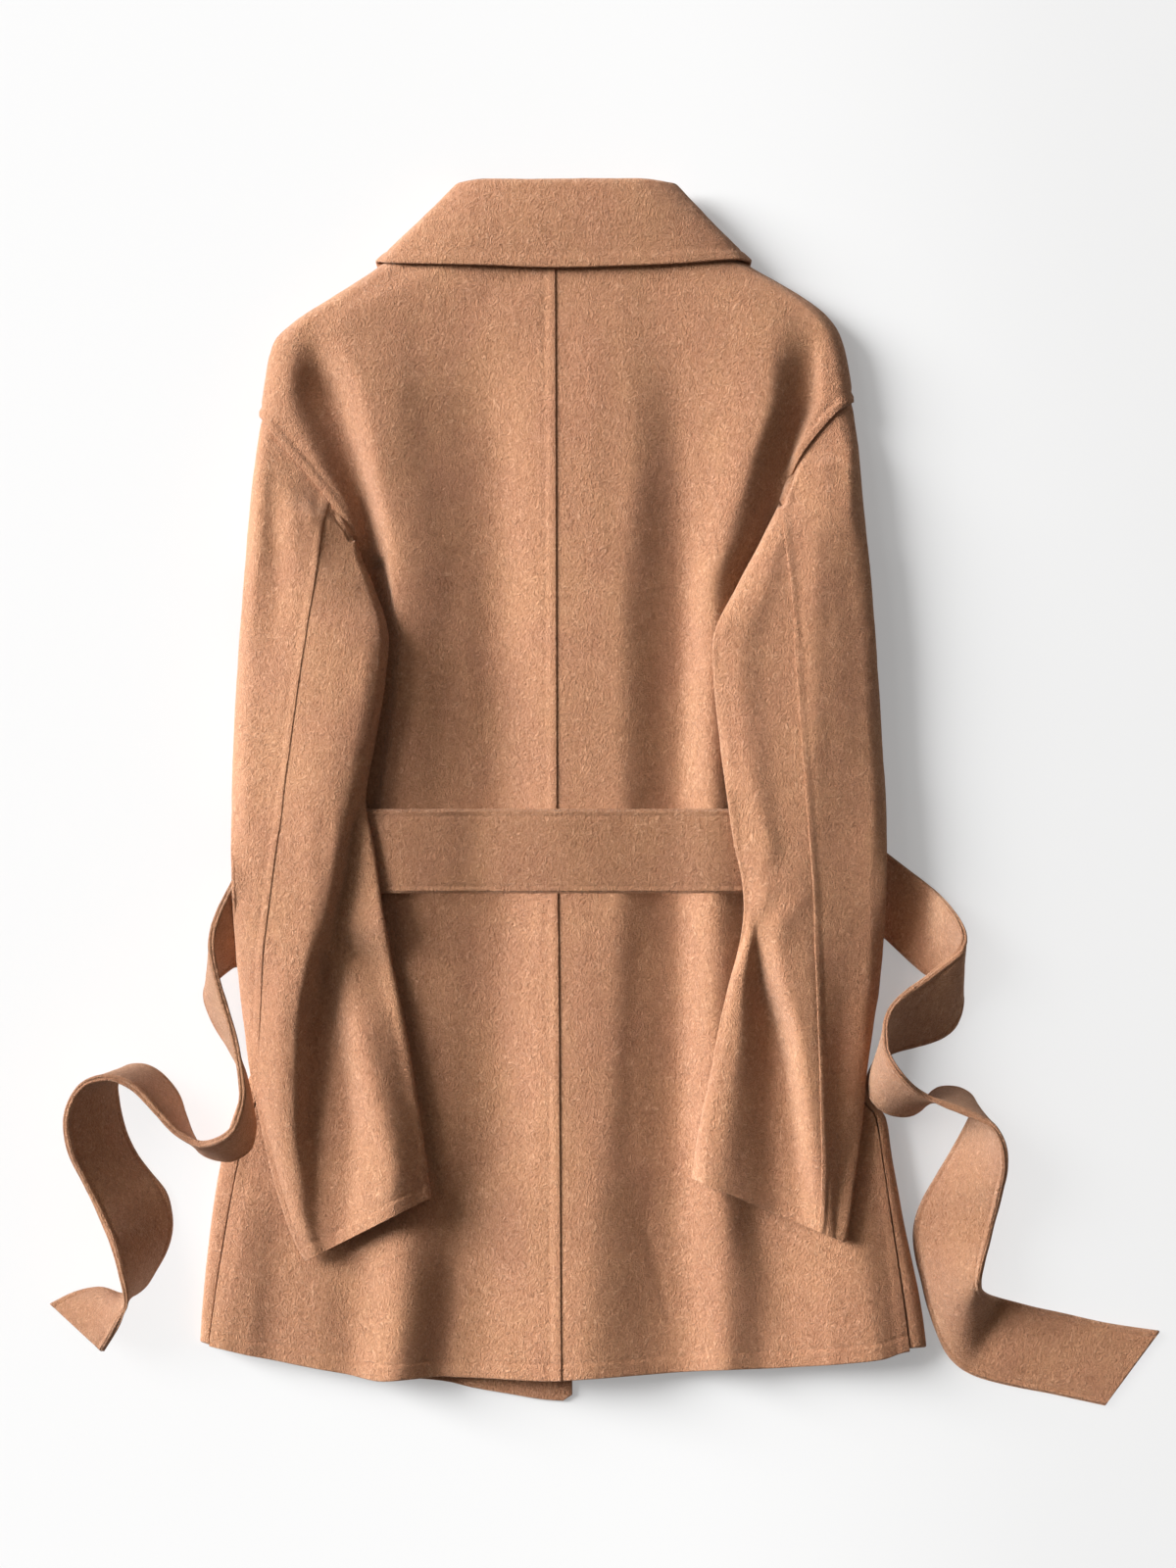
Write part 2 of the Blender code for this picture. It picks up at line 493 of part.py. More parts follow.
BELT_R = (
    (846, 832, 845, 918, 15.4), (864, 841, 862, 927, 14.5), (880, 852, 877, 938, 11.5),
    (893, 862, 890, 948, 7), (907, 872, 902, 957, 2.5), (928, 888, 919, 973, 0), (950, 905, 938, 990, 0),
    (968, 924, 956, 1000, 0), (979, 940, 968, 1004, 0), (984, 955, 977, 1009, 0),
    (980, 968, 981, 1020, 0), (970, 977, 980, 1034, 0), (956, 988, 974, 1048, 0),
    (941, 1000, 962, 1058, 0), (928, 1009, 947, 1064, 0), (916, 1020, 931, 1068, 0),
    (908, 1031, 915, 1072, 0), (904, 1044, 901, 1078, 0), (904, 1058, 891, 1090, 1),
    (905, 1070, 886, 1104, 6), (910, 1082, 888, 1118, 14), (919, 1095, 897, 1130, 17),
    (930, 1107, 912, 1137, 12), (940, 1115, 928, 1137, 5), (949, 1120, 940, 1130, 1),
    (957, 1124, 947, 1120, 0), (966, 1128, 956, 1112, 0), (977, 1132, 968, 1110, 0),
    (989, 1137, 980, 1112, 0), (1001, 1142, 990, 1119, 0), (1013, 1149, 994, 1131, 0),
    (1021, 1160, 989, 1143, 0), (1026, 1174, 982, 1156, 0), (1027, 1190, 973, 1172, 0),
    (1026, 1201, 964, 1187, 0), (1023, 1214, 954, 1203, 0), (1019, 1232, 943, 1221, 0),
    (1014, 1250, 935, 1240, 0), (1010, 1267, 932, 1261, 0), (1006, 1281, 935, 1284, 0),
    (1003, 1293, 941, 1307, 0), (1001, 1303, 947, 1331, 0), (1001, 1311, 955, 1356, 0),
    (1003, 1317, 964, 1378, 0), (1009, 1321, 976, 1393, 0), (1019, 1324, 992, 1403, 0),
    (1034, 1328, 1014, 1410, 0), (1057, 1334, 1040, 1416, 0), (1085, 1340, 1072, 1422, 0),
    (1130, 1350, 1104, 1429, 0), (1183, 1358, 1127, 1434, 0),
)


def belt_edges():
    """Both edges of the whole belt, metres, one row for each station."""
    back = [(x, BELT_TOP, x, BELT_LOW, None) for x in
            (306, 330, 370, 410, 450, 490, 530, 570, 610, 650, 690, 730, 770, 800, 824)]
    rows = list(BELT_L) + back + list(BELT_R)
    half = BELT_WALL * 500
    tops, lows = [], []
    for ax, ay, bx, by, on in rows:
        z = float(belt_rest(ax)) if on is None else on
        flat = on is None
        zb = z + half
        za = zb
        for _ in range(8):
            a, b = place(ax, ay, za), place(bx, by, zb)
            d = math.hypot(a[0] - b[0], a[1] - b[1])
            lean = min(1.0, d / BELT_WIDE)
            if not flat:
                zb = z + half * lean + 0.1
                za = zb + math.sqrt(max(BELT_WIDE ** 2 - d * d, 0.0)) * 1000
        tops.append(place(ax, ay, za))
        lows.append(place(bx, by, zb))
    return np.array(tops), np.array(lows)


# ---------------------------------------------------------------- solids
def normals(p):
    du = np.gradient(p, axis=0)
    dv = np.gradient(p, axis=1)
    n = np.cross(du, dv)
    return n / np.maximum(np.linalg.norm(n, axis=2, keepdims=True), 1e-12)


def wall(name, p, colour, up, thick=WALL, keep=None):
    """Closed solid: the grid p is its outer face, which at its middle section's
    column up[0] looks up (up[1] = 1) or down (-1); the inner face lies within."""
    n = normals(p)
    if n[len(p) // 2, up[0], 2] * up[1] < 0:
        n = -n
    if keep is not None:
        p, n = p[:, keep], n[:, keep]
    q = p - n * thick
    rows, cols = p.shape[:2]
    verts = np.concatenate([p.reshape(-1, 3), q.reshape(-1, 3)])
    o = rows * cols
    at = lambda i, j: i * cols + j
    faces = []
    for i in range(rows - 1):
        for j in range(cols - 1):
            f = (at(i, j), at(i + 1, j), at(i + 1, j + 1), at(i, j + 1))
            faces.append(f)
            faces.append(tuple(o + k for k in reversed(f)))
    ring = ([at(0, j) for j in range(cols - 1)]
            + [at(i, cols - 1) for i in range(rows - 1)]
            + [at(rows - 1, j) for j in range(cols - 1, 0, -1)]
            + [at(i, 0) for i in range(rows - 1, 0, -1)])
    for a, b in zip(ring, ring[1:] + ring[:1]):
        faces.append((a, b, o + b, o + a))
    return solid(name, verts, faces, colour)


def solid(name, verts, faces, colour):
    mesh = bpy.data.meshes.new(name)
    mesh.from_pydata([tuple(v) for v in verts], [], faces)
    bm = bmesh.new()
    bm.from_mesh(mesh)
    bmesh.ops.triangulate(bm, faces=bm.faces, quad_method="SHORT_EDGE")
    bmesh.ops.recalc_face_normals(bm, faces=bm.faces)
    if bm.calc_volume(signed=True) < 0:
        bmesh.ops.reverse_faces(bm, faces=bm.faces)
    bm.to_mesh(mesh)
    bm.free()
    mesh.shade_smooth()
    mesh.set_sharp_from_angle(angle=math.radians(40))
    ob = bpy.data.objects.new(name, mesh)
    bpy.context.scene.collection.objects.link(ob)
    mat = bpy.data.materials.new(name + "_cloth")
    mat.use_nodes = True
    b = mat.node_tree.nodes["Principled BSDF"]
    b.inputs["Base Color"].default_value = (*colour, 1.0)
    b.inputs["Roughness"].default_value = 0.9
    b.inputs["Metallic"].default_value = 0.0
    mesh.materials.append(mat)
    return ob


CAMEL = (0.48, 0.235, 0.112)

# ---------------------------------------------------------------- the pieces
ROWS = (250, 258, 272, 300, 330, 364, 390, 411, 425, 445, 461, 480, 497, 513, 530,
        548, 562, 580, 600, 640, 740, 868, 935, 1000, 1060, 1110, 1140, 1176, 1230, 1290,
        1350, 1412)


def back_row(q, left):
    xs = [float(curve(_b[:, 0], _b[:, 1 + j], q)) for j in range(12)]
    cb = float(table(CENTRE_SEAM, q))
    if left:
        e = float(table(EDGE_L, q)) + seam_gap(q, True)
        v, r, h = max(xs[2], e + 22), xs[3], xs[4]
        v = max(v, e + 20)
        r = max(r, v + 12)
        px = [e, e + 4, e + 13, 0.5 * (e + 13 + v), v, 0.5 * (v + r), r,
              r + (h - r) / 3, r + (h - r) * 2 / 3, h, 0.5 * (h + cb), cb - 9, cb - SEAM]
    else:
        e = float(table(EDGE_R, q)) - seam_gap(q, False)
        v, r, h, m = min(xs[9], e - 22), xs[8], xs[7], xs[6]
        r = min(r, v - 12)
        px = [e, e - 4, e - 13, 0.5 * (e - 13 + v), v, 0.5 * (v + r), r,
              0.5 * (r + h), h, 0.5 * (h + m), m, 0.5 * (m + cb), cb + SEAM]
    px = np.array(px)
    return place(px, q + hem_shift(q, px), back_z(q, px))


for name, left in (("back_left", True), ("back_right", False)):
    wall(name, np.array([back_row(q, left) for q in ROWS]), CAMEL, (7, 1))

for name, left in (("front_left", True), ("front_right", False)):
    wall(name, np.array([front_row(q, left, 5, 4) for q in ROWS[1:]]), CAMEL, (7, -1))

TOP_COLS = np.linspace(0, 1, 6)
LOW_COLS = np.linspace(0, 1, 5)
KEEP = [1, 3, 4, 5, 6, 7, 8, 9, 10, 12]
for side, rows in (("left", SLEEVE_L), ("right", SLEEVE_R)):
    sl = Sleeve(rows, side == "left")
    stations = [0.02, 0.5, 1, 1.6, 2, 2.4, 2.7] + list(range(3, sl.n))
    for part, inner in (("outer", False), ("inner", True)):
        p = sl.strip(stations, (TOP_COLS, LOW_COLS), SEAM, inner)
        wall("sleeve_%s_%s" % (side, part), p, CAMEL, (3, 1), keep=KEEP)

wall("collar", np.array([collar_row(s, 4, 5, 2) for s in np.arange(0, 17)]), CAMEL,
     (1, 1))

tops, lows = belt_edges()
mids = 0.5 * (tops + lows)
n = np.cross(np.gradient(mids, axis=0), tops - lows)
n /= np.linalg.norm(n, axis=1, keepdims=True)
verts, faces = [], []
for a, b, m in zip(tops, lows, n * BELT_WALL * 0.5):
    verts += [a + m, b + m, b - m, a - m]
k = len(tops)
for i in range(k - 1):
    for j in range(4):
        c, d = i * 4 + j, i * 4 + (j + 1) % 4
        faces.append((c, d, d + 4, c + 4))
faces += [(0, 3, 2, 1), tuple(4 * (k - 1) + j for j in range(4))]
solid("belt", verts, faces, CAMEL)
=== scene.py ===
"""Belted wool coat, laid face down: the cloth as it looks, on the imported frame."""
import json
import math

import bmesh
import bpy
import numpy as np
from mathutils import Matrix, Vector

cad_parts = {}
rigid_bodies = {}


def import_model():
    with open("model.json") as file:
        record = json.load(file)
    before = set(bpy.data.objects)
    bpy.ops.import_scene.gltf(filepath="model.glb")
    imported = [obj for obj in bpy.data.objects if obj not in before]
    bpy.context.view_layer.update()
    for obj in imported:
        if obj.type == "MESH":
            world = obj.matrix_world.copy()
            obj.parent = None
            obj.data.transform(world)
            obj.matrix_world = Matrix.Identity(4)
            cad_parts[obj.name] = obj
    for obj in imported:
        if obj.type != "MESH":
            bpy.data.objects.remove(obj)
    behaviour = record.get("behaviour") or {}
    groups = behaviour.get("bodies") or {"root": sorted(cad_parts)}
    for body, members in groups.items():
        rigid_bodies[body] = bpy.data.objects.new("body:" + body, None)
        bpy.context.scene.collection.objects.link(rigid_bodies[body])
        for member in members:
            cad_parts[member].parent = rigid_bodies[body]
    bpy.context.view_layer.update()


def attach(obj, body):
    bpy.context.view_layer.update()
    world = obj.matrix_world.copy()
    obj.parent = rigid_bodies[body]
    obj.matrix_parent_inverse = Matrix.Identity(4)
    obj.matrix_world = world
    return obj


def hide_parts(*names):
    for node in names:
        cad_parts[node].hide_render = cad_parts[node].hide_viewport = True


for ob in list(bpy.data.objects):
    bpy.data.objects.remove(ob, do_unlink=True)

# ---------------------------------------------------------------- sizes
# Places are given on a layout grid: 0.7 mm a step, counted right and down,
# as the outline is seen from a point EYE metres above the surface.
STEP = 0.0007
EYE = 2.2
EYE_AT = (600.0, 800.0)
CENTRE = (0.01165, -0.0079)     # middle of the coat's box, metres
WALL = 0.0024                  # wool cloth
BELT_WALL = 0.0044             # two layers, sewn face to face
BELT_WIDE = 0.0592
SEAM = 0.5                     # half of the gap at a seam, grid steps
LAY = 1.2                      # clearance between layers, mm


def place(px, py, z):
    """Grid place and height in mm -> metres."""
    px, py, z = np.broadcast_arrays(np.asarray(px, float), py, z)
    zm = z * 0.001
    k = STEP * (1.0 - zm / EYE)
    return np.stack([(px - EYE_AT[0]) * k - CENTRE[0],
                     (EYE_AT[1] - py) * k - CENTRE[1], zm], axis=-1)


# ---------------------------------------------------------------- curves
def curve(xk, yk, x):
    """Smooth curve through the knots that never overshoots them."""
    xk = np.asarray(xk, float)
    yk = np.asarray(yk, float)
    x = np.clip(np.asarray(x, float), xk[0], xk[-1])
    h = np.diff(xk)
    d = np.diff(yk) / h
    m = np.zeros(len(xk))
    for i in range(1, len(xk) - 1):
        if d[i - 1] * d[i] > 0:
            w1, w2 = 2 * h[i] + h[i - 1], h[i] + 2 * h[i - 1]
            m[i] = (w1 + w2) / (w1 / d[i - 1] + w2 / d[i])
    m[0], m[-1] = d[0], d[-1]
    i = np.clip(np.searchsorted(xk, x) - 1, 0, len(xk) - 2)
    t = (x - xk[i]) / h[i]
    t2, t3 = t * t, t * t * t
    return ((2 * t3 - 3 * t2 + 1) * yk[i] + (t3 - 2 * t2 + t) * h[i] * m[i]
            + (3 * t2 - 2 * t3) * yk[i + 1] + (t3 - t2) * h[i] * m[i + 1])


def table(rows, x):
    """Second column of a two-column table at x."""
    a = np.asarray(rows, float)
    return curve(a[:, 0], a[:, 1], x)


def ease(x):
    x = np.clip(x, 0.0, 1.0)
    return x * x * (3 - 2 * x)


def through(points, s):
    """Point on a round curve through a list of points, s counted in points."""
    p = np.asarray(points, float)
    s = np.clip(np.asarray(s, float), 0, len(p) - 1)
    i = np.minimum(s.astype(int), len(p) - 2)
    t = (s - i)[..., None]
    p0 = p[np.maximum(i - 1, 0)]
    p1, p2 = p[i], p[i + 1]
    p3 = p[np.minimum(i + 2, len(p) - 1)]
    return 0.5 * (2 * p1 + (p2 - p0) * t + (2 * p0 - 5 * p1 + 4 * p2 - p3) * t ** 2
                  + (3 * p1 - p0 - 3 * p2 + p3) * t ** 3)


# ---------------------------------------------------------------- the back
# Sections across the back from the neck down: for each, where the folds run
# across the coat, then how high each stands (mm).
# columns: down | side, rise, valley, ridge, hollow, centre, ridge, hollow,
#                 ridge, valley, rise, side   (left to right)
BACK = (
    (250, (448, 454, 461, 478, 514, 562, 612, 652, 676, 691, 697, 703),
          (16, 18, 19.5, 22, 23, 23.5, 23.5, 23, 22, 20, 18, 16)),
    (272, (387, 400, 416, 455, 510, 562, 615, 658, 700, 732, 750, 766),
          (16, 18, 19, 22, 22.5, 23.5, 23.5, 22.5, 22, 20, 18, 17)),
    (335, (294, 304, 320, 350, 470, 563, 628, 676, 785, 828, 840, 852),
          (17, 19.2, 20.4, 24, 19.5, 23.5, 24, 22.5, 24.5, 20.5, 20.5, 19)),
    (400, (268, 293, 334, 374, 490, 564, 638, 690, 784, 825, 840, 867),
          (18, 24, 11.2, 28, 15, 24, 24.5, 19.5, 27, 12, 21, 20)),
    (470, (302, 321, 357, 385, 500, 565, 641, 696, 764, 805, 812, 815),
          (23, 24, 10.8, 28, 12.8, 23.8, 24.5, 16.5, 28, 11.6, 18.5, 20)),
    (547, (359, 362, 377, 400, 503, 566, 634, 695, 743, 789, 812, 842),
          (21, 20, 10.8, 26, 11.8, 23.5, 24.5, 13.4, 27.5, 11.8, 14, 13)),
    (600, (287, 330, 382, 404, 504, 567, 630, 696, 728, 768, 830, 864),
          (13, 13, 13.0, 26, 10.6, 23.5, 24.5, 12, 26.5, 12.5, 13, 13)),
    (740, (292, 330, 374, 402, 505, 568, 628, 692, 726, 765, 830, 862),
          (13, 13, 19, 26.5, 10.4, 23.5, 24, 11, 26.5, 14, 13, 13)),
    (868, (296, 330, 372, 400, 508, 569, 628, 690, 728, 770, 830, 858),
          (13, 13, 18, 23, 10.6, 23, 23.5, 11.6, 26, 14, 13, 13)),
    (1000, (294, 330, 376, 406, 506, 570, 620, 690, 730, 780, 830, 862),
           (13, 13, 17, 20.5, 10.4, 23.5, 23.5, 11, 26.5, 14, 13, 13)),
    (1150, (250, 280, 350, 412, 502, 571, 612, 690, 730, 780, 850, 896),
           (14, 15, 16, 21.5, 10.4, 24, 24, 10.8, 25.5, 14, 15, 14)),
    (1250, (237, 250, 350, 413, 474, 572, 600, 686, 738, 778, 868, 908),
           (15, 19, 15, 24.5, 12.2, 24.5, 25.5, 10.6, 24.5, 13.5, 21, 15)),
    (1330, (225, 240, 362, 411, 468, 573, 598, 692, 742, 790, 880, 919),
           (15, 19.5, 15.5, 27, 11.2, 24, 26, 10.8, 23, 15, 23, 15)),
    (1412, (215, 230, 352, 404, 458, 573, 595, 694, 742, 780, 890, 928),
           (14, 17.5, 14.5, 25.5, 11.5, 24, 25.5, 11.5, 21.5, 16, 21.5, 14)),
)
# Edge of the back, left and right: shoulder, armhole, then side seam.
# columns: down, across
EDGE_L = ((250, 448), (254, 436), (262, 409), (268, 392), (274, 384), (302, 341),
          (328, 301), (349, 280), (385, 271), (425, 266), (429, 268.5), (457, 290),
          (480, 311), (506, 332), (531, 350), (545, 358.3), (548, 359), (552, 355.5),
          (600, 288), (640, 287), (740, 294), (900, 298), (1000, 297), (1060, 290),
          (1120, 264), (1176, 246), (1375, 218), (1412, 214))
EDGE_R = ((250, 703), (254, 716), (262, 742), (268, 758), (274, 768), (302, 817),
          (321, 842), (342, 857), (366, 864), (411, 870), (413, 866), (419, 856),
          (431, 844), (445, 832), (461, 820), (482, 809), (500, 801), (510, 797.5),
          (513, 797), (517, 799), (566, 860), (600, 865), (740, 862), (900, 858),
          (1000, 858), (1060, 862), (1100, 868), (1120, 877), (1140, 893), (1176, 899),
          (1385, 925), (1412, 928))
CENTRE_SEAM = ((250, 566), (275, 566.2), (460, 567), (820, 568), (1000, 570), (1250, 571.5),
               (1412, 572.5))
# Lower edge of the back.  columns: across, down
HEM = ((200, 1370), (207, 1372), (250, 1383), (300, 1393), (350, 1402), (390, 1410),
       (420, 1408), (450, 1405), (500, 1407), (560, 1410), (600, 1408), (650, 1404),
       (700, 1400), (750, 1398), (800, 1396), (850, 1393), (900, 1388), (925, 1380),
       (950, 1377))
HEM_AT = 1412.0
# Outline of the sleeves beside the shoulder.  columns: down, across
OUT_L = ((385, 271), (425, 266), (500, 257), (540, 253), (640, 245))
OUT_R = ((366, 864), (411, 870), (455, 876), (500, 880), (640, 892))


def seam_gap(q, left):
    """Half the gap at the side seam; wider at the hidden corner under the arm."""
    top = 548.0 if left else 515.0
    return (SEAM + 1.6 * float(ease((q - top) / 8.0) * ease((640.0 - q) / 30.0))
            + 0.5 * float(ease((q - 1080.0) / 20.0) * ease((1170.0 - q) / 20.0)))


def hem_shift(q, px):
    """How far a section's place moves down or up so the last lies on the hem."""
    return (table(HEM, px) - HEM_AT) * ease((q - 1180.0) / (HEM_AT - 1180.0))


_b = np.array([[r[0]] + list(r[1]) + list(r[2]) for r in BACK], float)


def back_z(q, px):
    """Height of the back's upper face along one section, mm."""
    px = np.asarray(px, float)
    xs = np.array([curve(_b[:, 0], _b[:, 1 + j], q) for j in range(12)])
    zs = np.array([curve(_b[:, 0], _b[:, 13 + j], q) for j in range(12)])
    lo, hi = float(table(EDGE_L, q)), float(table(EDGE_R, q))
    xs[0], xs[11] = min(lo, xs[0]), max(hi, xs[11])
    for j in range(1, 12):
        xs[j] = max(xs[j], xs[j - 1] + 1.5)
    z = curve(xs, zs, px)
    # the cloth rolls over the shoulder's edge
    if q < 640:
        left = table(EDGE_L, q) if q < 425 else table(OUT_L, q)
        right = table(EDGE_R, q) if q < 411 else table(OUT_R, q)
        for d in (px - left, right - px):
            f = np.sqrt(np.clip(1 - (1 - np.clip(d / 15.0, 0, 1)) ** 2, 0, 1))
            z = 9.6 + (z - 9.6) * f
    return z


_gy = np.arange(240.0, 1430.0, 4.0)
_gx = np.arange(200.0, 960.0, 2.0)
_gz = np.array([back_z(max(q, 250.0), _gx) for q in _gy])


def under_z(px, py):
    """The same height, read anywhere."""
    u = np.clip((np.asarray(px, float) - _gx[0]) / 2.0, 0, len(_gx) - 1.001)
    v = np.clip((np.asarray(py, float) - _gy[0]) / 4.0, 0, len(_gy) - 1.001)
    i, j = v.astype(int), u.astype(int)
    fi, fj = v - i, u - j
    return ((_gz[i, j] * (1 - fj) + _gz[i, j + 1] * fj) * (1 - fi)
            + (_gz[i + 1, j] * (1 - fj) + _gz[i + 1, j + 1] * fj) * fi)


# How far the front turns up past the side seam.  columns: down, steps
WRAP_L = ((250, 9), (425, 9), (440, 7), (540, 7), (552, 5), (580, 16), (1100, 18),
          (1176, 18), (1375, 11), (1412, 9))
WRAP_R = ((250, 9), (411, 9), (430, 7), (505, 7), (520, 5), (560, 14), (1060, 14),
          (1140, 10), (1250, 12), (1385, 17), (1412, 17))


def side_l(py):
    return table(EDGE_L, py) - table(WRAP_L, py) + np.maximum(547.0 - py, 0) * 1.2


def side_r(py):
    return table(EDGE_R, py) + table(WRAP_R, py) - np.maximum(513.0 - py, 0) * 1.2


# The belt's strip over the back lies on the ridges and bridges the hollows.
BELT_TOP, BELT_LOW = 825.5, 911.5
_bx = np.arange(230.0, 950.0, 5.0)
_bz = np.array([max(under_z(x, y) for y in np.arange(816.0, 921.0, 8.0)) for x in _bx])
_bz = np.array([_bz[max(0, i - 3):i + 4].max() for i in range(len(_bx))])
_bz = np.array([_bz[max(0, i - 6):i + 7].mean() for i in range(len(_bx))])


def belt_rest(px):
    return np.interp(px, _bx, _bz) + LAY + 0.6


def body_top(px, py):
    """Smooth upper limit of the body with the belt on it; 0 on the surface."""
    c = 20.0 * ease((680.0 - py) / 60.0)
    r_l = ease((px - (side_l(py) - 32.0 - c)) / (30.0 + 0.6 * c))
    r_r = ease(((side_r(py) + 32.0 + c) - px) / (30.0 + 0.6 * c))
    z = (under_z(px, py) + LAY + 1.2) * np.minimum(r_l, r_r)
    # over the belt
    w = ease((py - 770.0) / 45.0) * ease((985.0 - py) / 50.0)
    on = np.minimum(ease((px - 240.0) / 25.0), ease((905.0 - px) / 25.0))
    b = (belt_rest(px) + BELT_WALL * 1000 + LAY) * on
    z = z + np.maximum(b - z, 0) * w
    # left of the coat the strip turns down under the sleeve's edge
    g = np.exp(-((py - 898.0) / 62.0) ** 2) * ease((330.0 - px) / 30.0)
    z = np.maximum(z, 31.0 * g)
    g = np.exp(-((py - 905.0) / 60.0) ** 2) * (1 - r_r)
    return np.maximum(z, 19.0 * g)


# ---------------------------------------------------------------- sleeves
# Stations down each sleeve.  columns: outer edge (across, down), inner edge
# (across, down), elbow seam, crest, valley, crest (parts of the width from the
# outer edge), and the heights of outer shoulder, crest, valley, crest, inner
# shoulder in mm.
SLEEVE_L = (
    (266, 425, 359, 547, .710, .20, .60, .85, 22, 23, 23, 24, 24),
    (259, 480, 365, 557, .667, .25, .62, .85, 25, 28, 27, 26, 25),
    (253, 540, 371, 573, .615, .28, .64, .85, 27, 32, 30, 28, 27),
    (249, 590, 383, 602, .534, .30, .66, .86, 28, 35, 33, 30, 28),
    (245, 640, 396, 648, .447, .32, .68, .88, 29, 37, 34, 31, 28),
    (241, 700, 392, 700, .417, .33, .72, .90, 29, 38, 34, 31, 28),
    (238, 760, 383, 758, .400, .34, .78, .92, 29, 38, 33, 31, 28),
    (236.5, 815, 373, 815, .384, .38, .86, .94, 30, 39, 31, 29, 28),
    (236, 870, 382, 868, .310, .40, .84, .93, 32, 41, 28.5, 29, 28),
    (237, 920, 390, 920, .245, .36, .76, .89, 33, 41, 26, 30, 28),
    (241, 975, 400, 980, .170, .31, .66, .84, 31, 40, 23.5, 32, 27),
    (247, 1030, 411, 1035, .113, .28, .59, .81, 29, 38, 21.5, 33, 27),
    (253, 1080, 420, 1085, .066, .25, .54, .80, 28, 36, 21, 34, 27),
    (262, 1130, 427, 1130, .042, .21, .48, .84, 27, 34, 21, 35, 27),
    (275, 1190, 434, 1174, .040, .17, .40, .87, 25, 31, 21.5, 36, 28),
    (290, 1240, 437, 1200, .040, .16, .34, .88, 23, 28, 23, 36, 28),
    (303, 1272, 439, 1214, .040, .16, .33, .88, 22, 27, 24, 35, 28),
    (312, 1287, 440, 1222, .040, .16, .32, .88, 21, 26, 24.5, 35, 28),
)
SLEEVE_R = (
    (870, 411, 801, 500, .925, .25, .60, .88, 21, 22, 23, 24, 24),
    (876, 455, 796, 512, .930, .28, .62, .88, 25, 28, 27, 26, 25),
    (880, 500, 785, 534, .850, .32, .64, .88, 27, 32, 31, 29, 27),
    (885, 550, 769, 565, .710, .38, .66, .88, 28, 35, 34, 31, 28),
    (890, 600, 750, 601, .589, .45, .70, .88, 29, 37, 35, 32, 29),
    (893.5, 648, 727.5, 650, .498, .48, .74, .90, 29, 38, 36, 33, 29),
    (897, 700, 729, 700, .495, .50, .76, .92, 30, 39, 36, 33, 29),
    (900, 750, 734, 750, .497, .50, .78, .92, 30, 39, 36, 34, 30),
    (903, 800, 740, 800, .500, .52, .80, .93, 30, 39, 36, 34, 31),
    (905, 855, 748, 855, .503, .58, .84, .94, 31, 40, 36, 35, 32),
    (904, 905, 758, 905, .510, .64, .90, .96, 31, 40, 34, 32, 30),
    (902.5, 950, 757, 950, .490, .76, .90, .96, 31, 40, 30, 31, 28),
    (898, 1000, 745, 1000, .425, .63, .73, .86, 30, 40, 25, 31, 27),
    (891, 1050, 733, 1050, .354, .48, .62, .84, 29, 39, 22, 31, 27),
    (884, 1100, 724, 1100, .295, .37, .51, .82, 28, 38, 21, 31, 27),
    (880, 1150, 714, 1148, .253, .29, .44, .82, 27, 36, 21, 32, 27),
    (873, 1200, 708, 1184, .206, .22, .38, .84, 25, 34, 21.5, 33, 27),
    (866, 1248, 706, 1198, .179, .19, .36, .85, 23, 31, 22.5, 33, 27),
    (862, 1268, 706, 1203, .173, .18, .35, .85, 22, 29, 23.5, 33, 27),
)
ROLL_OUT, ROLL_IN = 17.0, 9.0     # how wide the sleeve's edges roll, steps


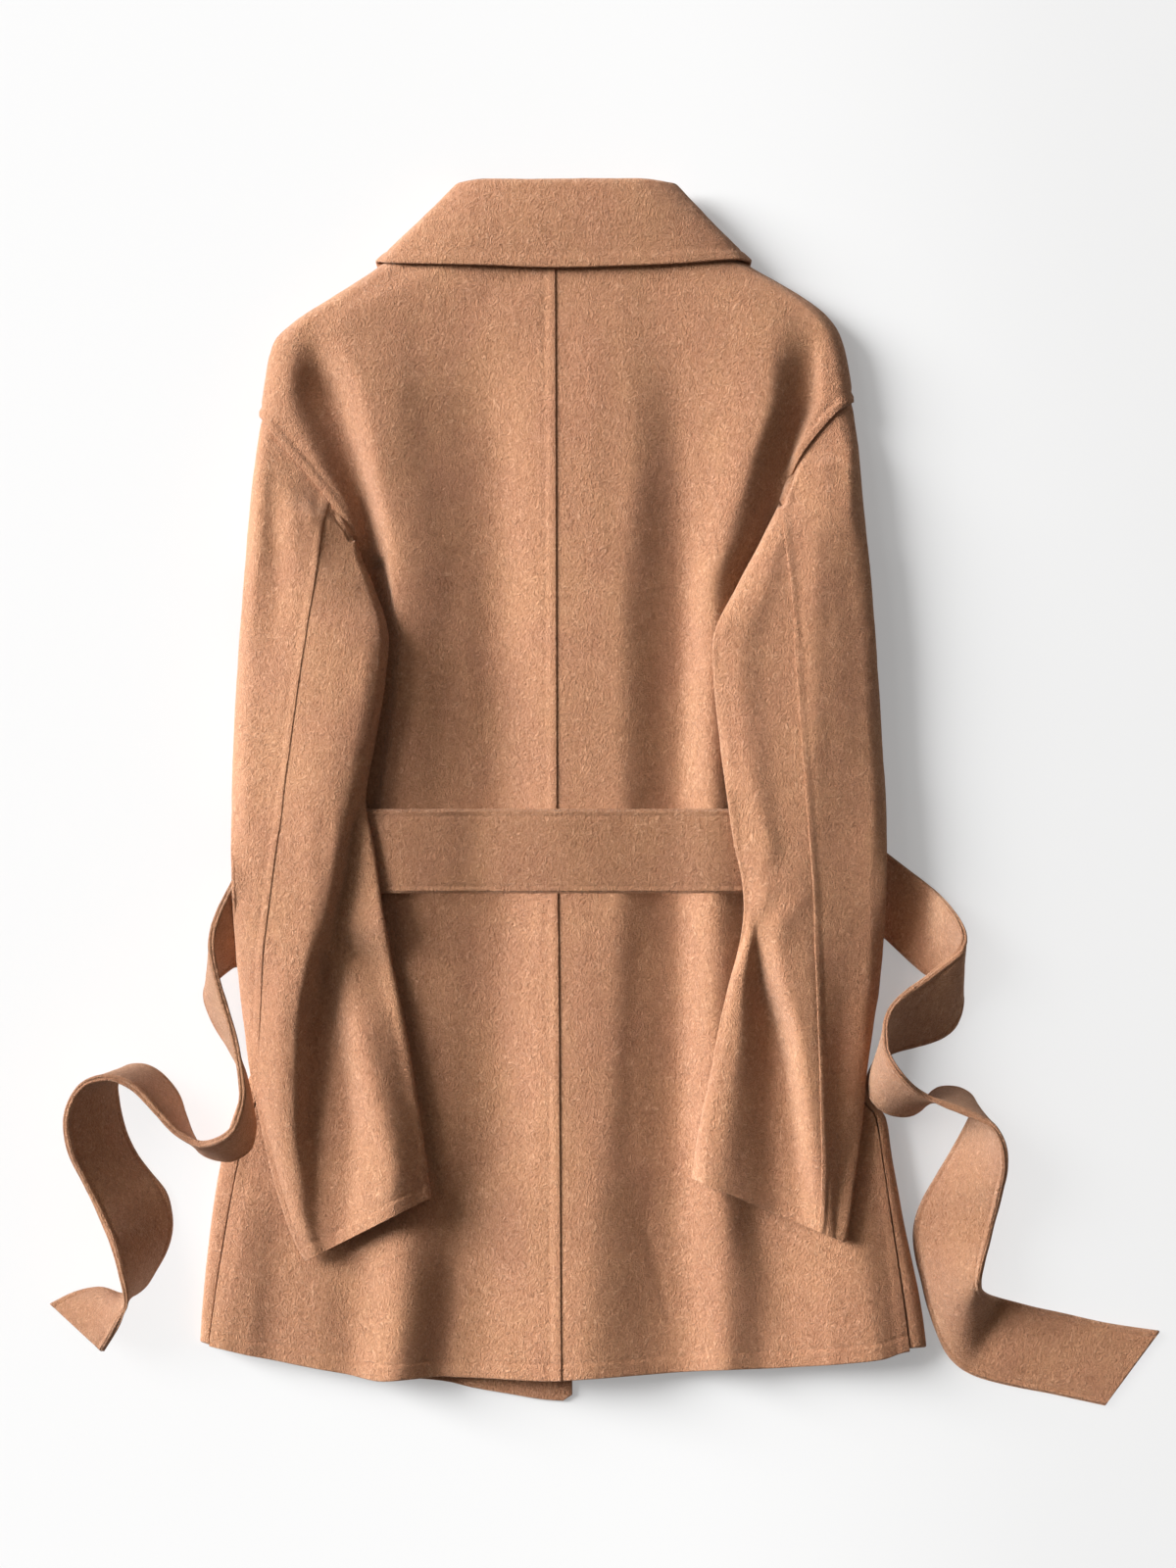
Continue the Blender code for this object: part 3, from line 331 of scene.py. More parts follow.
class Sleeve:
    def __init__(self, rows, left):
        self.t = np.asarray(rows, float)
        self.n = len(self.t)
        self.left = left

    def row(self, s):
        """The station's numbers at s; the armhole is s = 0."""
        k = np.arange(self.n, dtype=float)
        r = np.array([curve(k, self.t[:, j], s) for j in range(self.t.shape[1])])
        r[:4] = through(self.t[:, :4], s)
        return r

    def width(self, s):
        r = self.row(s)
        return math.hypot(r[2] - r[0], r[3] - r[1])

    def point(self, s, d, top):
        """Point at d steps in from the outer edge, on the top or the bottom face."""
        r = self.row(s)
        w = math.hypot(r[2] - r[0], r[3] - r[1])
        d = np.asarray(d, float)
        t = d / w
        px = r[0] + (r[2] - r[0]) * t
        py = r[1] + (r[3] - r[1]) * t
        if s < 1.0:                        # the first station is the armhole seam
            y0 = self.t[0, 1] + (self.t[0, 3] - self.t[0, 1]) * t
            x0 = self.t[0, 0] + (self.t[0, 2] - self.t[0, 0]) * t
            edge = table(EDGE_L if self.left else EDGE_R, y0)
            gap = 2 * SEAM + 0.9 * ease((y0 - 455.0) / 20.0)
            px = px + (edge - x0 - gap * (1 if self.left else -1)) * (1 - s)
        low = 1.0 + body_top(px, py)
        tops = curve([0, r[5], r[6], r[7], 1], r[8:13], t)
        if s < 2.5:                        # flush with the body at the armhole
            k = ease(s / 2.5)
            tops = tops * k + under_z(px, py) * (1 - k)
        tops = np.maximum(tops, low + 6.6)
        ro = min(ROLL_OUT, 0.3 * w)
        f = np.sqrt(np.clip(1 - (1 - np.clip(d / ro, 0, 1)) ** 2, 0, 1))
        g = np.sqrt(np.clip(1 - (1 - np.clip((w - d) / ROLL_IN, 0, 1)) ** 2, 0, 1))
        e = np.minimum(f, g)
        mid = 0.5 * (tops + low)
        z = mid + (tops - mid) * e if top else mid - (mid - low) * e
        return place(px, py, z)

    def strip(self, stations, cols, seam, inner):
        """Rows of points from the elbow seam round one edge to the front seam,
        with one more column just past and just before either seam."""
        out = []
        for s in stations:
            r, w = self.row(s), self.width(s)
            e = r[4] * w
            f = 0.46 * w
            a = 0.5 * np.pi * (1 - np.asarray(cols[0]))
            b = 0.5 * np.pi * np.asarray(cols[1])[1:]
            if not inner:
                top = (e - seam) * (1 - np.cos(a))
                bot = (f - seam) * (1 - np.cos(b))
                top = np.concatenate([[e - seam + 3, e - seam, e - seam - 3], top[1:]])
                bot = np.concatenate([bot[:-1], [f - seam - 3, f - seam, f - seam + 3]])
            else:
                top = w - (w - e - seam) * (1 - np.cos(a))
                bot = w - (w - f - seam) * (1 - np.cos(b))
                top = np.concatenate([[e + seam - 3, e + seam, e + seam + 3], top[1:]])
                bot = np.concatenate([bot[:-1], [f + seam + 3, f + seam, f + seam - 3]])
            top = np.clip(top, 0.0, w)
            out.append(np.concatenate([self.point(s, top, True),
                                       self.point(s, bot, False)]))
        return np.array(out)


# ---------------------------------------------------------------- collar
# Stations along the collar from its left front end round the neck to its
# right front end.  columns: neck seam, roll line, fall edge (across, down,
# height in mm each), and the way the fall faces (degrees: 90 up, -90 down)
COLLAR = (
    (500, 298, 8.2, 522, 262, 4.2, 440, 348, 0.5, -90),
    (478, 272, 8.2, 502, 232, 4.2, 415, 318, 0.5, -90),
    (458, 255, 8.2, 484, 208, 4.8, 390, 281, 0.4, -88),
    (448, 250, 9.0, 474, 196, 7.5, 383, 268, 2.2, -50),
    (445, 248.5, 12.0, 470, 190, 13, 386, 266, 12.5, 5),
    (452, 248.5, 15.5, 474, 186, 18.5, 400, 268.2, 20.5, 55),
    (474, 248.8, 19.0, 492, 183, 22.5, 448, 269.4, 26, 82),
    (512, 249, 20.5, 530, 184, 24.5, 504, 271, 27.6, 90),
    (566, 249, 21, 576, 184.5, 25, 562, 273, 28, 90),
    (616, 249, 20.5, 622, 184, 24.5, 622, 271.8, 27.6, 90),
    (664, 248.8, 19.0, 659, 183, 22.5, 692, 269, 26, 82),
    (697, 248.5, 15.5, 679, 186, 18.5, 747, 265, 20.5, 55),
    (707, 248.5, 12.0, 686, 190, 13, 764, 266, 12.5, 5),
    (704, 250, 9.0, 682, 196, 7.5, 767, 268, 2.2, -50),
    (694, 255, 8.2, 672, 208, 4.8, 760, 281, 0.4, -88),
    (674, 272, 8.2, 654, 232, 4.2, 732, 318, 0.5, -90),
    (652, 298, 8.2, 634, 262, 4.2, 706, 348, 0.5, -90),
)
ROLL = 0.0034


def collar_row(s, fall, turn, stand):
    """One section: fall edge, over the roll, down to the neck seam."""
    r = through(COLLAR, s)
    n, o, f = place(*r[0:3]), place(*r[3:6]), place(*r[6:9])
    a = math.radians(float(r[9]))
    e1 = 0.5 * (n + f) - o
    e1 /= np.linalg.norm(e1)
    flat = np.array([e1[0], e1[1], 0.0])
    flat /= np.linalg.norm(flat)
    side = np.array([-flat[1], flat[0], 0.0])
    if side[0] * (s - 8.0) < 0:
        side = -side
    e2 = math.cos(a) * side + math.sin(a) * np.array([0, 0, 1.0])
    e2 -= e1 * e2.dot(e1)
    e2 /= np.linalg.norm(e2)
    mid = o + ROLL * e1
    up, low = mid + ROLL * e2, mid - ROLL * e2
    t = np.linspace(0, 1, fall)[:, None]
    rows = [f + (up - f) * t + 0.0012 * max(math.sin(a), 0.0) * np.sin(np.pi * t) * e2]
    ang = np.linspace(90, -90, turn)[1:-1, None] * np.pi / 180
    rows.append(mid - ROLL * np.cos(ang) * e1 + ROLL * np.sin(ang) * e2)
    t = np.linspace(0, 1, stand)[:, None]
    rows.append(low + (n - low) * t)
    return np.concatenate(rows)


# ---------------------------------------------------------------- fronts
# Front edges with the neckline above.  columns: down, across
FRONT_L = ((250, 446), (262, 460), (280, 478), (300, 496), (330, 520), (360, 540),
           (400, 560), (450, 578), (500, 584), (1430, 584))
FRONT_R = ((250, 706), (262, 692), (280, 674), (300, 656), (330, 630), (360, 606),
           (400, 570), (450, 525), (500, 496), (600, 478), (1430, 470))
# Lower edges.  columns: across, down
HEM_FL = ((200, 1368), (207, 1370), (300, 1388), (400, 1404), (455, 1409), (480, 1415),
          (520, 1422), (558, 1428), (576, 1429), (585, 1422))
HEM_FR = ((460, 1396), (600, 1401), (700, 1394), (850, 1387), (925, 1376), (950, 1374))
UNDER_COLLAR = 4.4


def front_row(q, left, wrap, floor):
    """One section of a front: side seam, round the side, along the surface."""
    seam = seam_gap(q, left)
    xs = float(table(EDGE_L if left else EDGE_R, q))
    e = float(table(WRAP_L if left else WRAP_R, q))
    sgn = 1.0 if left else -1.0
    top_q, low_q = (425.0, 547.0) if left else (411.0, 513.0)
    level = UNDER_COLLAR * float(ease((470.0 - q) / 60.0))
    over = level + (9.0 - level) / 0.4565
    # where the section starts on its half ellipse, and how high that stands
    if q <= top_q:
        a0, tall = 95.0, over
    else:
        k = float(ease((q - low_q) / 30.0))
        a0 = 125.0 * (1 - k) + 3.0 * k
        tall = 8.0 * (1 - k) + (float(back_z(q, xs)) - 0.0) * k
        j = float(ease((q - top_q) / 14.0))
        a0, tall = 95.0 * (1 - j) + a0 * j, over * (1 - j) + tall * j
    if q <= low_q and q > top_q:
        e_in = seam + e + 1.2 * float(ease((top_q + 20 - q) / 10))
    elif q <= top_q:
        e_in = e + 0.8 + 0.7 * float(ease((q - 395.0) / 20.0))
    else:
        k = float(ease((q - low_q) / 30.0))
        e_in = (seam + e) * (1 - k) - seam * k
    a = np.radians(np.linspace(a0, 180.0, wrap))
    h = (tall - level) * 0.5
    x0 = xs + sgn * e_in
    wx = x0 - sgn * e * np.sin(a)
    wz = level + h * (1 + np.cos(a))
    xf = float(table(FRONT_L if left else FRONT_R, q))
    if left:
        fx = wx[-1] + (xf - wx[-1]) * np.linspace(0, 1, floor)[1:]
    else:                                  # finer where it climbs the other front
        c2 = xf + 0.5 * (wx[-1] - xf)
        c3 = max(603.0, xf + 0.2 * (wx[-1] - xf))
        k = (floor - 1) // 3
        fx = np.concatenate([np.linspace(wx[-1], c2, floor - 2 * k)[1:],
                             np.linspace(c2, c3, k + 1)[1:],
                             np.linspace(c3, xf, k + 1)[1:]])
    px = np.concatenate([wx, fx])
    z = np.concatenate([wz, np.full(floor - 1, level)])
    if not left:
        z = z + 3.4 * ease((628.0 - px) / 26.0)
    py = np.full(len(px), float(q))
    hem = table(HEM_FL if left else HEM_FR, px)
    py = py + (hem - HEM_AT) * ease((q - 1180.0) / (HEM_AT - 1180.0))
    return place(px, py, z)


# ---------------------------------------------------------------- belt
# Stations along the belt, left end to right end, on both edges.
# columns: far edge (across, down), near or lower edge (across, down), and the
# height in mm of what the lower edge stands on (0: the surface)
BELT_L = (
    (105, 1379, 52, 1330, 0), (115, 1362, 76, 1319, 0), (123, 1346, 102, 1315, 0),
    (128, 1332, 126, 1322, 0), (127, 1317, 145, 1313, 0), (123, 1301, 159, 1293, 0),
    (118, 1283, 170, 1273, 0), (112, 1265, 175, 1255, 0), (104, 1247, 175, 1237, 0),
    (95, 1227, 169, 1216, 0), (82, 1201, 154, 1197, 0), (72, 1181, 141, 1180, 0),
    (67, 1162, 131, 1161, 0), (66, 1142, 124, 1140, 0), (72, 1122, 120, 1120, 0),
    (84, 1107, 119, 1104, 0), (99, 1101, 128, 1091, 0), (117, 1101, 145, 1088, 0),
    (138, 1112, 163, 1096, 0), (160, 1135, 180, 1116, 0), (172, 1148, 188, 1138, 0),
    (184, 1158, 196, 1160, 0), (203, 1167, 209, 1177, 3), (222, 1163, 234, 1183, 14),
    (236, 1153, 254, 1172, 18), (243, 1137, 259, 1150, 19), (247, 1119, 256, 1129, 18),
    (246, 1101, 252, 1109, 14), (243, 1080, 246, 1089, 8), (238, 1055, 234, 1067, 2), (230, 1027, 220, 1045, 0),
    (222, 999, 211, 1022, 0), (216, 970, 212, 1008, 0), (217, 949, 222, 998, 0),
    (224, 928, 235, 988, 0), (236, 903, 247, 983, 1), (250, 872, 257, 957, 4),
    (267, 846, 268, 933, 9), (288, 832, 286, 919, 14.5),
)
BELT_R = (
    (846, 832, 845, 918, 15.4), (864, 841, 862, 927, 14.5), (880, 852, 877, 938, 11.5),
    (893, 862, 890, 948, 7), (907, 872, 902, 957, 2.5), (928, 888, 919, 973, 0), (950, 905, 938, 990, 0),
    (968, 924, 956, 1000, 0), (979, 940, 968, 1004, 0), (984, 955, 977, 1009, 0),
    (980, 968, 981, 1020, 0), (970, 977, 980, 1034, 0), (956, 988, 974, 1048, 0),
    (941, 1000, 962, 1058, 0), (928, 1009, 947, 1064, 0), (916, 1020, 931, 1068, 0),
    (908, 1031, 915, 1072, 0), (904, 1044, 901, 1078, 0), (904, 1058, 891, 1090, 1),
    (905, 1070, 886, 1104, 6), (910, 1082, 888, 1118, 14), (919, 1095, 897, 1130, 17),
    (930, 1107, 912, 1137, 12), (940, 1115, 928, 1137, 5), (949, 1120, 940, 1130, 1),
    (957, 1124, 947, 1120, 0), (966, 1128, 956, 1112, 0), (977, 1132, 968, 1110, 0),
    (989, 1137, 980, 1112, 0), (1001, 1142, 990, 1119, 0), (1013, 1149, 994, 1131, 0),
    (1021, 1160, 989, 1143, 0), (1026, 1174, 982, 1156, 0), (1027, 1190, 973, 1172, 0),
    (1026, 1201, 964, 1187, 0), (1023, 1214, 954, 1203, 0), (1019, 1232, 943, 1221, 0),
    (1014, 1250, 935, 1240, 0), (1010, 1267, 932, 1261, 0), (1006, 1281, 935, 1284, 0),
    (1003, 1293, 941, 1307, 0), (1001, 1303, 947, 1331, 0), (1001, 1311, 955, 1356, 0),
    (1003, 1317, 964, 1378, 0), (1009, 1321, 976, 1393, 0), (1019, 1324, 992, 1403, 0),
    (1034, 1328, 1014, 1410, 0), (1057, 1334, 1040, 1416, 0), (1085, 1340, 1072, 1422, 0),
    (1130, 1350, 1104, 1429, 0), (1183, 1358, 1127, 1434, 0),
)


def belt_edges():
    """Both edges of the whole belt, metres, one row for each station."""
    back = [(x, BELT_TOP, x, BELT_LOW, None) for x in
            (306, 330, 370, 410, 450, 490, 530, 570, 610, 650, 690, 730, 770, 800, 824)]
    rows = list(BELT_L) + back + list(BELT_R)
    half = BELT_WALL * 500
    tops, lows = [], []
    for ax, ay, bx, by, on in rows:
        z = float(belt_rest(ax)) if on is None else on
        flat = on is None
        zb = z + half
        za = zb
        for _ in range(8):
            a, b = place(ax, ay, za), place(bx, by, zb)
            d = math.hypot(a[0] - b[0], a[1] - b[1])
            lean = min(1.0, d / BELT_WIDE)
            if not flat:
                zb = z + half * lean + 0.1
                za = zb + math.sqrt(max(BELT_WIDE ** 2 - d * d, 0.0)) * 1000
        tops.append(place(ax, ay, za))
        lows.append(place(bx, by, zb))
    return np.array(tops), np.array(lows)


# ================================================================ the looks
# Folds of the sleeves' upper faces.  Each row: down, places across, heights in
# mm.  columns: outer edge, roll, dip, slope, edge of the fold, its foot,
#               hollow, second crest, inner edge (left to right)
TOP_L = (
    (430, (266, 272, 280, 290, 305, 320, 335, 348, 358), (22, 25, 24.5, 28, 30.5, 29, 26, 24.5, 24)),
    (500, (257, 264, 278, 300, 314, 328, 342, 356, 367), (26, 30, 29, 34.5, 34.5, 30.5, 27, 24.5, 24)),
    (560, (251, 262, 280, 302, 319, 338, 354, 368, 376), (27, 31.5, 30, 36, 36, 32.5, 29.5, 27, 25)),
    (600, (248, 261, 280, 302, 320, 345, 362, 376, 383), (26, 31.5, 31, 38, 40, 38, 35, 31.5, 28)),
    (650, (245, 258, 277, 300, 325, 350, 372, 388, 396), (26, 31, 33.5, 39, 43, 44, 43, 40, 35)),
    (700, (241, 256, 272, 296, 325, 348, 368, 384, 392), (24, 30, 34, 39.5, 44, 45.5, 45.5, 42, 36.5)),
    (760, (238, 254, 272, 295, 323, 341, 360, 375, 383), (24, 30, 34, 39.5, 45, 46.5, 45.5, 41, 35)),
    (815, (236.5, 252, 272, 296, 320, 338, 354, 366, 373), (25, 31.5, 35, 40.5, 45.5, 46.5, 44.5, 38.5, 31)),
    (850, (236, 252, 275, 300, 322, 340, 352, 363, 379), (28, 34.5, 38.5, 42.5, 46.5, 46.5, 43, 30, 25)),
    (900, (236.7, 253, 277, 300, 320, 336, 347, 356, 387), (30, 36, 40.5, 44, 46.5, 45.5, 40, 27, 23.5)),
    (950, (239, 256, 277, 298, 316, 329, 337, 346, 395), (28, 34.5, 39.5, 43.2, 45, 42, 35, 25, 23)),
    (1000, (244, 260, 276, 290, 308, 320, 330, 364, 405), (24, 31, 37, 41.5, 42.5, 35, 22.5, 28, 24.5)),
    (1050, (249, 263, 275, 287, 303, 318, 333, 370, 414), (22, 29, 36, 40.5, 40, 24, 20.5, 35, 27)),
    (1100, (256, 266, 276, 288, 301, 317, 340, 380, 423), (21, 27, 34, 39, 38.5, 24, 20.5, 38.5, 27)),
    (1150, (266, 274, 281, 290, 301, 316, 342, 392, 430), (20, 26.5, 32, 35.5, 35.5, 23, 20.5, 41, 28)),
    (1200, (278, 284, 289, 297, 306, 322, 338, 400, 436), (19, 25, 29, 32, 32, 23, 20, 42, 28)),
    (1250, (293, 298, 303, 309, 315, 324, 337, 398, 438), (18, 23.5, 27, 29, 28, 22, 22, 39, 28)),
    (1290, (312, 316, 320, 324, 328, 333, 342, 400, 440), (18, 23, 25, 26, 26, 24.5, 27, 38, 28)),
)
# columns: inner edge, crest, its far side, hollow, foot of the fold, crest,
#          far side, shoulder, outer edge (left to right)
TOP_R = (
    (430, (800, 815, 825, 835, 845, 853, 860, 868, 873), (20, 20.5, 21, 21.5, 22, 22, 22, 22, 21)),
    (500, (798, 806, 815, 828, 840, 850, 860, 870, 880), (20.5, 22, 23, 24.5, 25.5, 25, 24.5, 24, 22)),
    (550, (774, 784, 795, 803, 815, 832, 848, 868, 885), (24, 28.5, 30, 29.5, 29.5, 30.5, 29, 26, 22.5)),
    (600, (750, 762, 778, 800, 815, 832, 849, 870, 890), (29, 33, 35, 33, 32.5, 33.2, 31, 27, 23)),
    (650, (727.5, 740, 756, 785, 806, 828, 849, 870, 893.5), (33.5, 36.5, 37.5, 35, 34.3, 34.8, 32.3, 28, 23.5)),
    (700, (729, 742, 755, 785, 808, 828, 849, 872, 897), (34, 36.5, 38.5, 35.6, 34.9, 35.2, 32.6, 28.2, 23.5)),
    (760, (734, 748, 762, 790, 811, 826, 850, 875, 900), (34, 37.5, 39.5, 37, 36.2, 36.2, 32.8, 28.3, 23.5)),
    (815, (742, 757, 772, 795, 812, 824, 850, 876, 903), (34.5, 38.5, 41, 38.5, 37.6, 37.2, 33.4, 29, 25)),
    (870, (752, 768, 784, 800, 815, 826, 850, 878, 904), (34, 39, 41.5, 39.5, 38.5, 37.8, 34, 30, 26.5)),
    (905, (758, 768, 776, 784, 800, 815, 845, 878, 904), (32.5, 36.5, 39.5, 41, 40.5, 39.5, 35, 30, 26.5)),
    (950, (757, 763, 768, 772, 780, 794, 815, 873, 902.5), (29, 36.5, 37, 36, 38, 42, 39.5, 30, 25.5)),
    (1000, (745, 751, 757, 776, 785, 802, 822, 868, 898), (33, 37, 37.5, 27, 32, 41.5, 40, 29.5, 25)),
    (1050, (733, 744, 752, 790, 798, 816, 830, 862, 891), (33.5, 37.5, 38, 22.5, 28, 41, 39.5, 29.5, 25)),
    (1100, (724, 736, 745, 798, 806, 823, 836, 858, 884), (33.5, 37.5, 38, 21.5, 27, 40, 38.5, 29.5, 24)),
    (1150, (714, 727, 737, 803, 811, 829, 840, 856, 880), (33, 37, 38, 21.5, 26, 38, 37, 29.5, 23)),
    (1200, (707, 720, 731, 806, 815, 836, 844, 856, 873), (28, 36.5, 37.5, 21.5, 25.5, 36, 35, 28.5, 21)),
    (1250, (706, 718, 728, 808, 818, 842, 848, 856, 866), (28, 36, 37, 22.5, 25.5, 33, 32, 27, 20)),
    (1275, (706, 718, 728, 810, 820, 843, 850, 856, 862), (28, 36, 37, 23, 25.5, 30.5, 30, 26, 20)),
)


class Heights:
    """A height read anywhere from rows of knots across."""

    def __init__(self, rows, y0, y1, x0, x1):
        self.y0, self.x0 = y0, x0
        ys = np.arange(y0, y1, 4.0)
        xs = np.arange(x0, x1, 1.5)
        t = np.array([[r[0]] + list(r[1]) + list(r[2]) for r in rows], float)
        n = len(rows[0][1])
        z = []
        for y in ys:
            xk = np.array([curve(t[:, 0], t[:, 1 + j], y) for j in range(n)])
            zk = np.array([curve(t[:, 0], t[:, 1 + n + j], y) for j in range(n)])
            for j in range(1, n):
                xk[j] = max(xk[j], xk[j - 1] + 1.0)
            z.append(curve(xk, zk, xs))
        self.z = np.array(z)

    def __call__(self, px, py):
        u = np.clip((np.asarray(px, float) - self.x0) / 1.5, 0, self.z.shape[1] - 1.001)
        v = np.clip((np.asarray(py, float) - self.y0) / 4.0, 0, self.z.shape[0] - 1.001)
        i, j = v.astype(int), u.astype(int)
        fi, fj = v - i, u - j
        z = self.z
        return ((z[i, j] * (1 - fj) + z[i, j + 1] * fj) * (1 - fi)
                + (z[i + 1, j] * (1 - fj) + z[i + 1, j + 1] * fj) * fi)


TIGHT = -0.3         # half the gap at a sewn seam, steps
TOPS = {True: Heights(TOP_L, 400.0, 1310.0, 225.0, 450.0),
        False: Heights(TOP_R, 400.0, 1300.0, 700.0, 915.0)}


class Fine(Sleeve):
    """The sleeve with its own folds."""

    def point(self, s, d, top):
        r = self.row(s)
        w = math.hypot(r[2] - r[0], r[3] - r[1])
        d = np.asarray(d, float)
        t = d / w
        px = r[0] + (r[2] - r[0]) * t
        py = r[1] + (r[3] - r[1]) * t
        if s < 1.0:
            y0 = self.t[0, 1] + (self.t[0, 3] - self.t[0, 1]) * t
            x0 = self.t[0, 0] + (self.t[0, 2] - self.t[0, 0]) * t
            edge = table(EDGE_L if self.left else EDGE_R, y0)
            px = px + (edge - x0 - 2 * TIGHT * (1 if self.left else -1)) * (1 - s)
        low = 1.0 + body_top(px, py)
        tops = TOPS[self.left](px, py)
        a, qx, qy = nearest(px, py, ARM_L if self.left else ARM_R)   # flush at the armhole
        f = (ease((0.6 * px + 0.8 * py - 556.0) / 86.0) if self.left
             else ease((0.81 * py - 0.58 * px + 127.0) / 36.0))
        k = ease(a / (66.0 - 60.0 * f))      # stands up at the underarm
        tops = tops * k + (under_z(qx, qy) - 0.2) * (1 - k)
        m = 0.9 + 4.7 * ease((a - 8.0) / 50.0)
        out = ease((330.0 - px) / 30.0) if self.left else ease((px - 850.0) / 30.0)
        m = m * (1 - 0.35 * out * np.exp(-((py - 900.0) / 75.0) ** 2))
        free = ease(((566.0 if self.left else 531.0) - py) / 24.0) * (1 - ease((a - 10.0) / 40.0))
        low = low + np.minimum(tops - m - low, 0.0) * free
        tops = low + m + 0.5 * (tops - low - m + np.sqrt((tops - low - m) ** 2 + 1.0))
        ro = min(ROLL_OUT, 0.3 * w)
        f = np.sqrt(np.clip(1 - (1 - np.clip(d / ro, 0, 1)) ** 2, 0, 1))
        g = np.sqrt(np.clip(1 - (1 - np.clip((w - d) / ROLL_IN, 0, 1)) ** 2, 0, 1))
        e = np.minimum(f, g)
        mid = 0.5 * (tops + low)
        z = mid + (tops - mid) * e if top else mid - (mid - low) * e
        return place(px, py, z)


# ---------------------------------------------------------------- small unevenness
_rng = np.random.default_rng(11)
_lat = _rng.random((32, 32, 32)).astype(np.float32)


def noise3(p, cell):
    """Smooth noise, -1 to 1, one lump for each cell metres."""
    q = p / cell + 100.0
    i = np.floor(q).astype(int)
    f = q - i
    f = f * f * (3 - 2 * f)
    out = 0.0
    for dx in (0, 1):
        for dy in (0, 1):
            for dz in (0, 1):
                w = ((f[..., 0] if dx else 1 - f[..., 0]) * (f[..., 1] if dy else 1 - f[..., 1])
                     * (f[..., 2] if dz else 1 - f[..., 2]))
                out = out + w * _lat[(i[..., 0] + dx) % 32, (i[..., 1] + dy) % 32,
                                     (i[..., 2] + dz) % 32]
    return out * 2 - 1


def grid_of(p):
    """The layout place of points."""
    k = STEP * (1 - p[..., 2] / EYE)
    return (p[..., 0] + CENTRE[0]) / k + EYE_AT[0], EYE_AT[1] - (p[..., 1] + CENTRE[1]) / k


def line_distance(px, py, line):
    """Distance in steps to a line of points."""
    best = np.full(px.shape, 1e9)
    for (ax, ay), (bx, by) in zip(line, line[1:]):
        vx, vy = bx - ax, by - ay
        t = np.clip(((px - ax) * vx + (py - ay) * vy) / (vx * vx + vy * vy), 0, 1)
        best = np.minimum(best, np.hypot(px - ax - t * vx, py - ay - t * vy))
    return best


def nearest(px, py, line):
    """Distance to a line of points, and the nearest place on it."""
    px, py = np.asarray(px, float), np.asarray(py, float)
    best, qx, qy = np.full(px.shape, 1e9), px * 1.0, py * 1.0
    for (ax, ay), (bx, by) in zip(line, line[1:]):
        vx, vy = bx - ax, by - ay
        t = np.clip(((px - ax) * vx + (py - ay) * vy) / (vx * vx + vy * vy), 0, 1)
        x, y = ax + t * vx, ay + t * vy
        d = np.hypot(px - x, py - y)
        near = d < best
        best, qx, qy = np.where(near, d, best), np.where(near, x, qx), np.where(near, y, qy)
    return best, qx, qy


def lap(d, wide, high):
    """The raised band of a lapped seam, d steps from the join."""
    return (high * (1 - ease((d - 0.55 * wide) / (0.5 * wide)))
            - 0.42 * high * np.exp(-((d - 1.15 * wide) / 2.0) ** 2))


ARM_L = [(x, y) for y, x in EDGE_L if 425 <= y <= 548]
ARM_R = [(x, y) for y, x in EDGE_R if 411 <= y <= 513]


# Small creases of the back.  columns: from (across, down), to, half width, height (mm)
CREASES = (
    (404, 1235, 396, 1408, 14, 1.0), (352, 1290, 362, 1400, 12, -0.7),
    (658, 1240, 684, 1348, 5, -0.8),
    (476, 1290, 470, 1404, 9, 0.7), (520, 1330, 517, 1406, 10, 0.6),
    (735, 1290, 741, 1398, 9, 0.7), (800, 1300, 812, 1394, 12, -0.7), (842, 1290, 850, 1392, 12, 0.8),
    (284, 1235, 278, 1405, 24, -2.4), (262, 1300, 255, 1384, 8, 0.5), (330, 1310, 326, 1396, 10, 0.6),
    (452, 640, 446, 812, 14, -0.6), (475, 560, 484, 800, 12, 0.6), (530, 420, 540, 640, 16, 0.7),
    (600, 330, 606, 560, 18, 0.8), (596, 930, 600, 1180, 16, 0.6), (464, 950, 456, 1200, 14, 0.6),
    (650, 950, 642, 1180, 12, -0.6), (712, 420, 704, 560, 14, 0.7), (424, 330, 436, 470, 16, -0.7),
)


def creases(px, py):
    h = np.zeros(px.shape)
    for ax, ay, bx, by, wide, high in CREASES:
        vx, vy = bx - ax, by - ay
        t = ((px - ax) * vx + (py - ay) * vy) / (vx * vx + vy * vy)
        d = np.hypot(px - ax - np.clip(t, 0, 1) * vx, py - ay - np.clip(t, 0, 1) * vy)
        h = h + high * np.exp(-(d / wide) ** 2) * ease((t + 0.25) / 0.5)
    return h


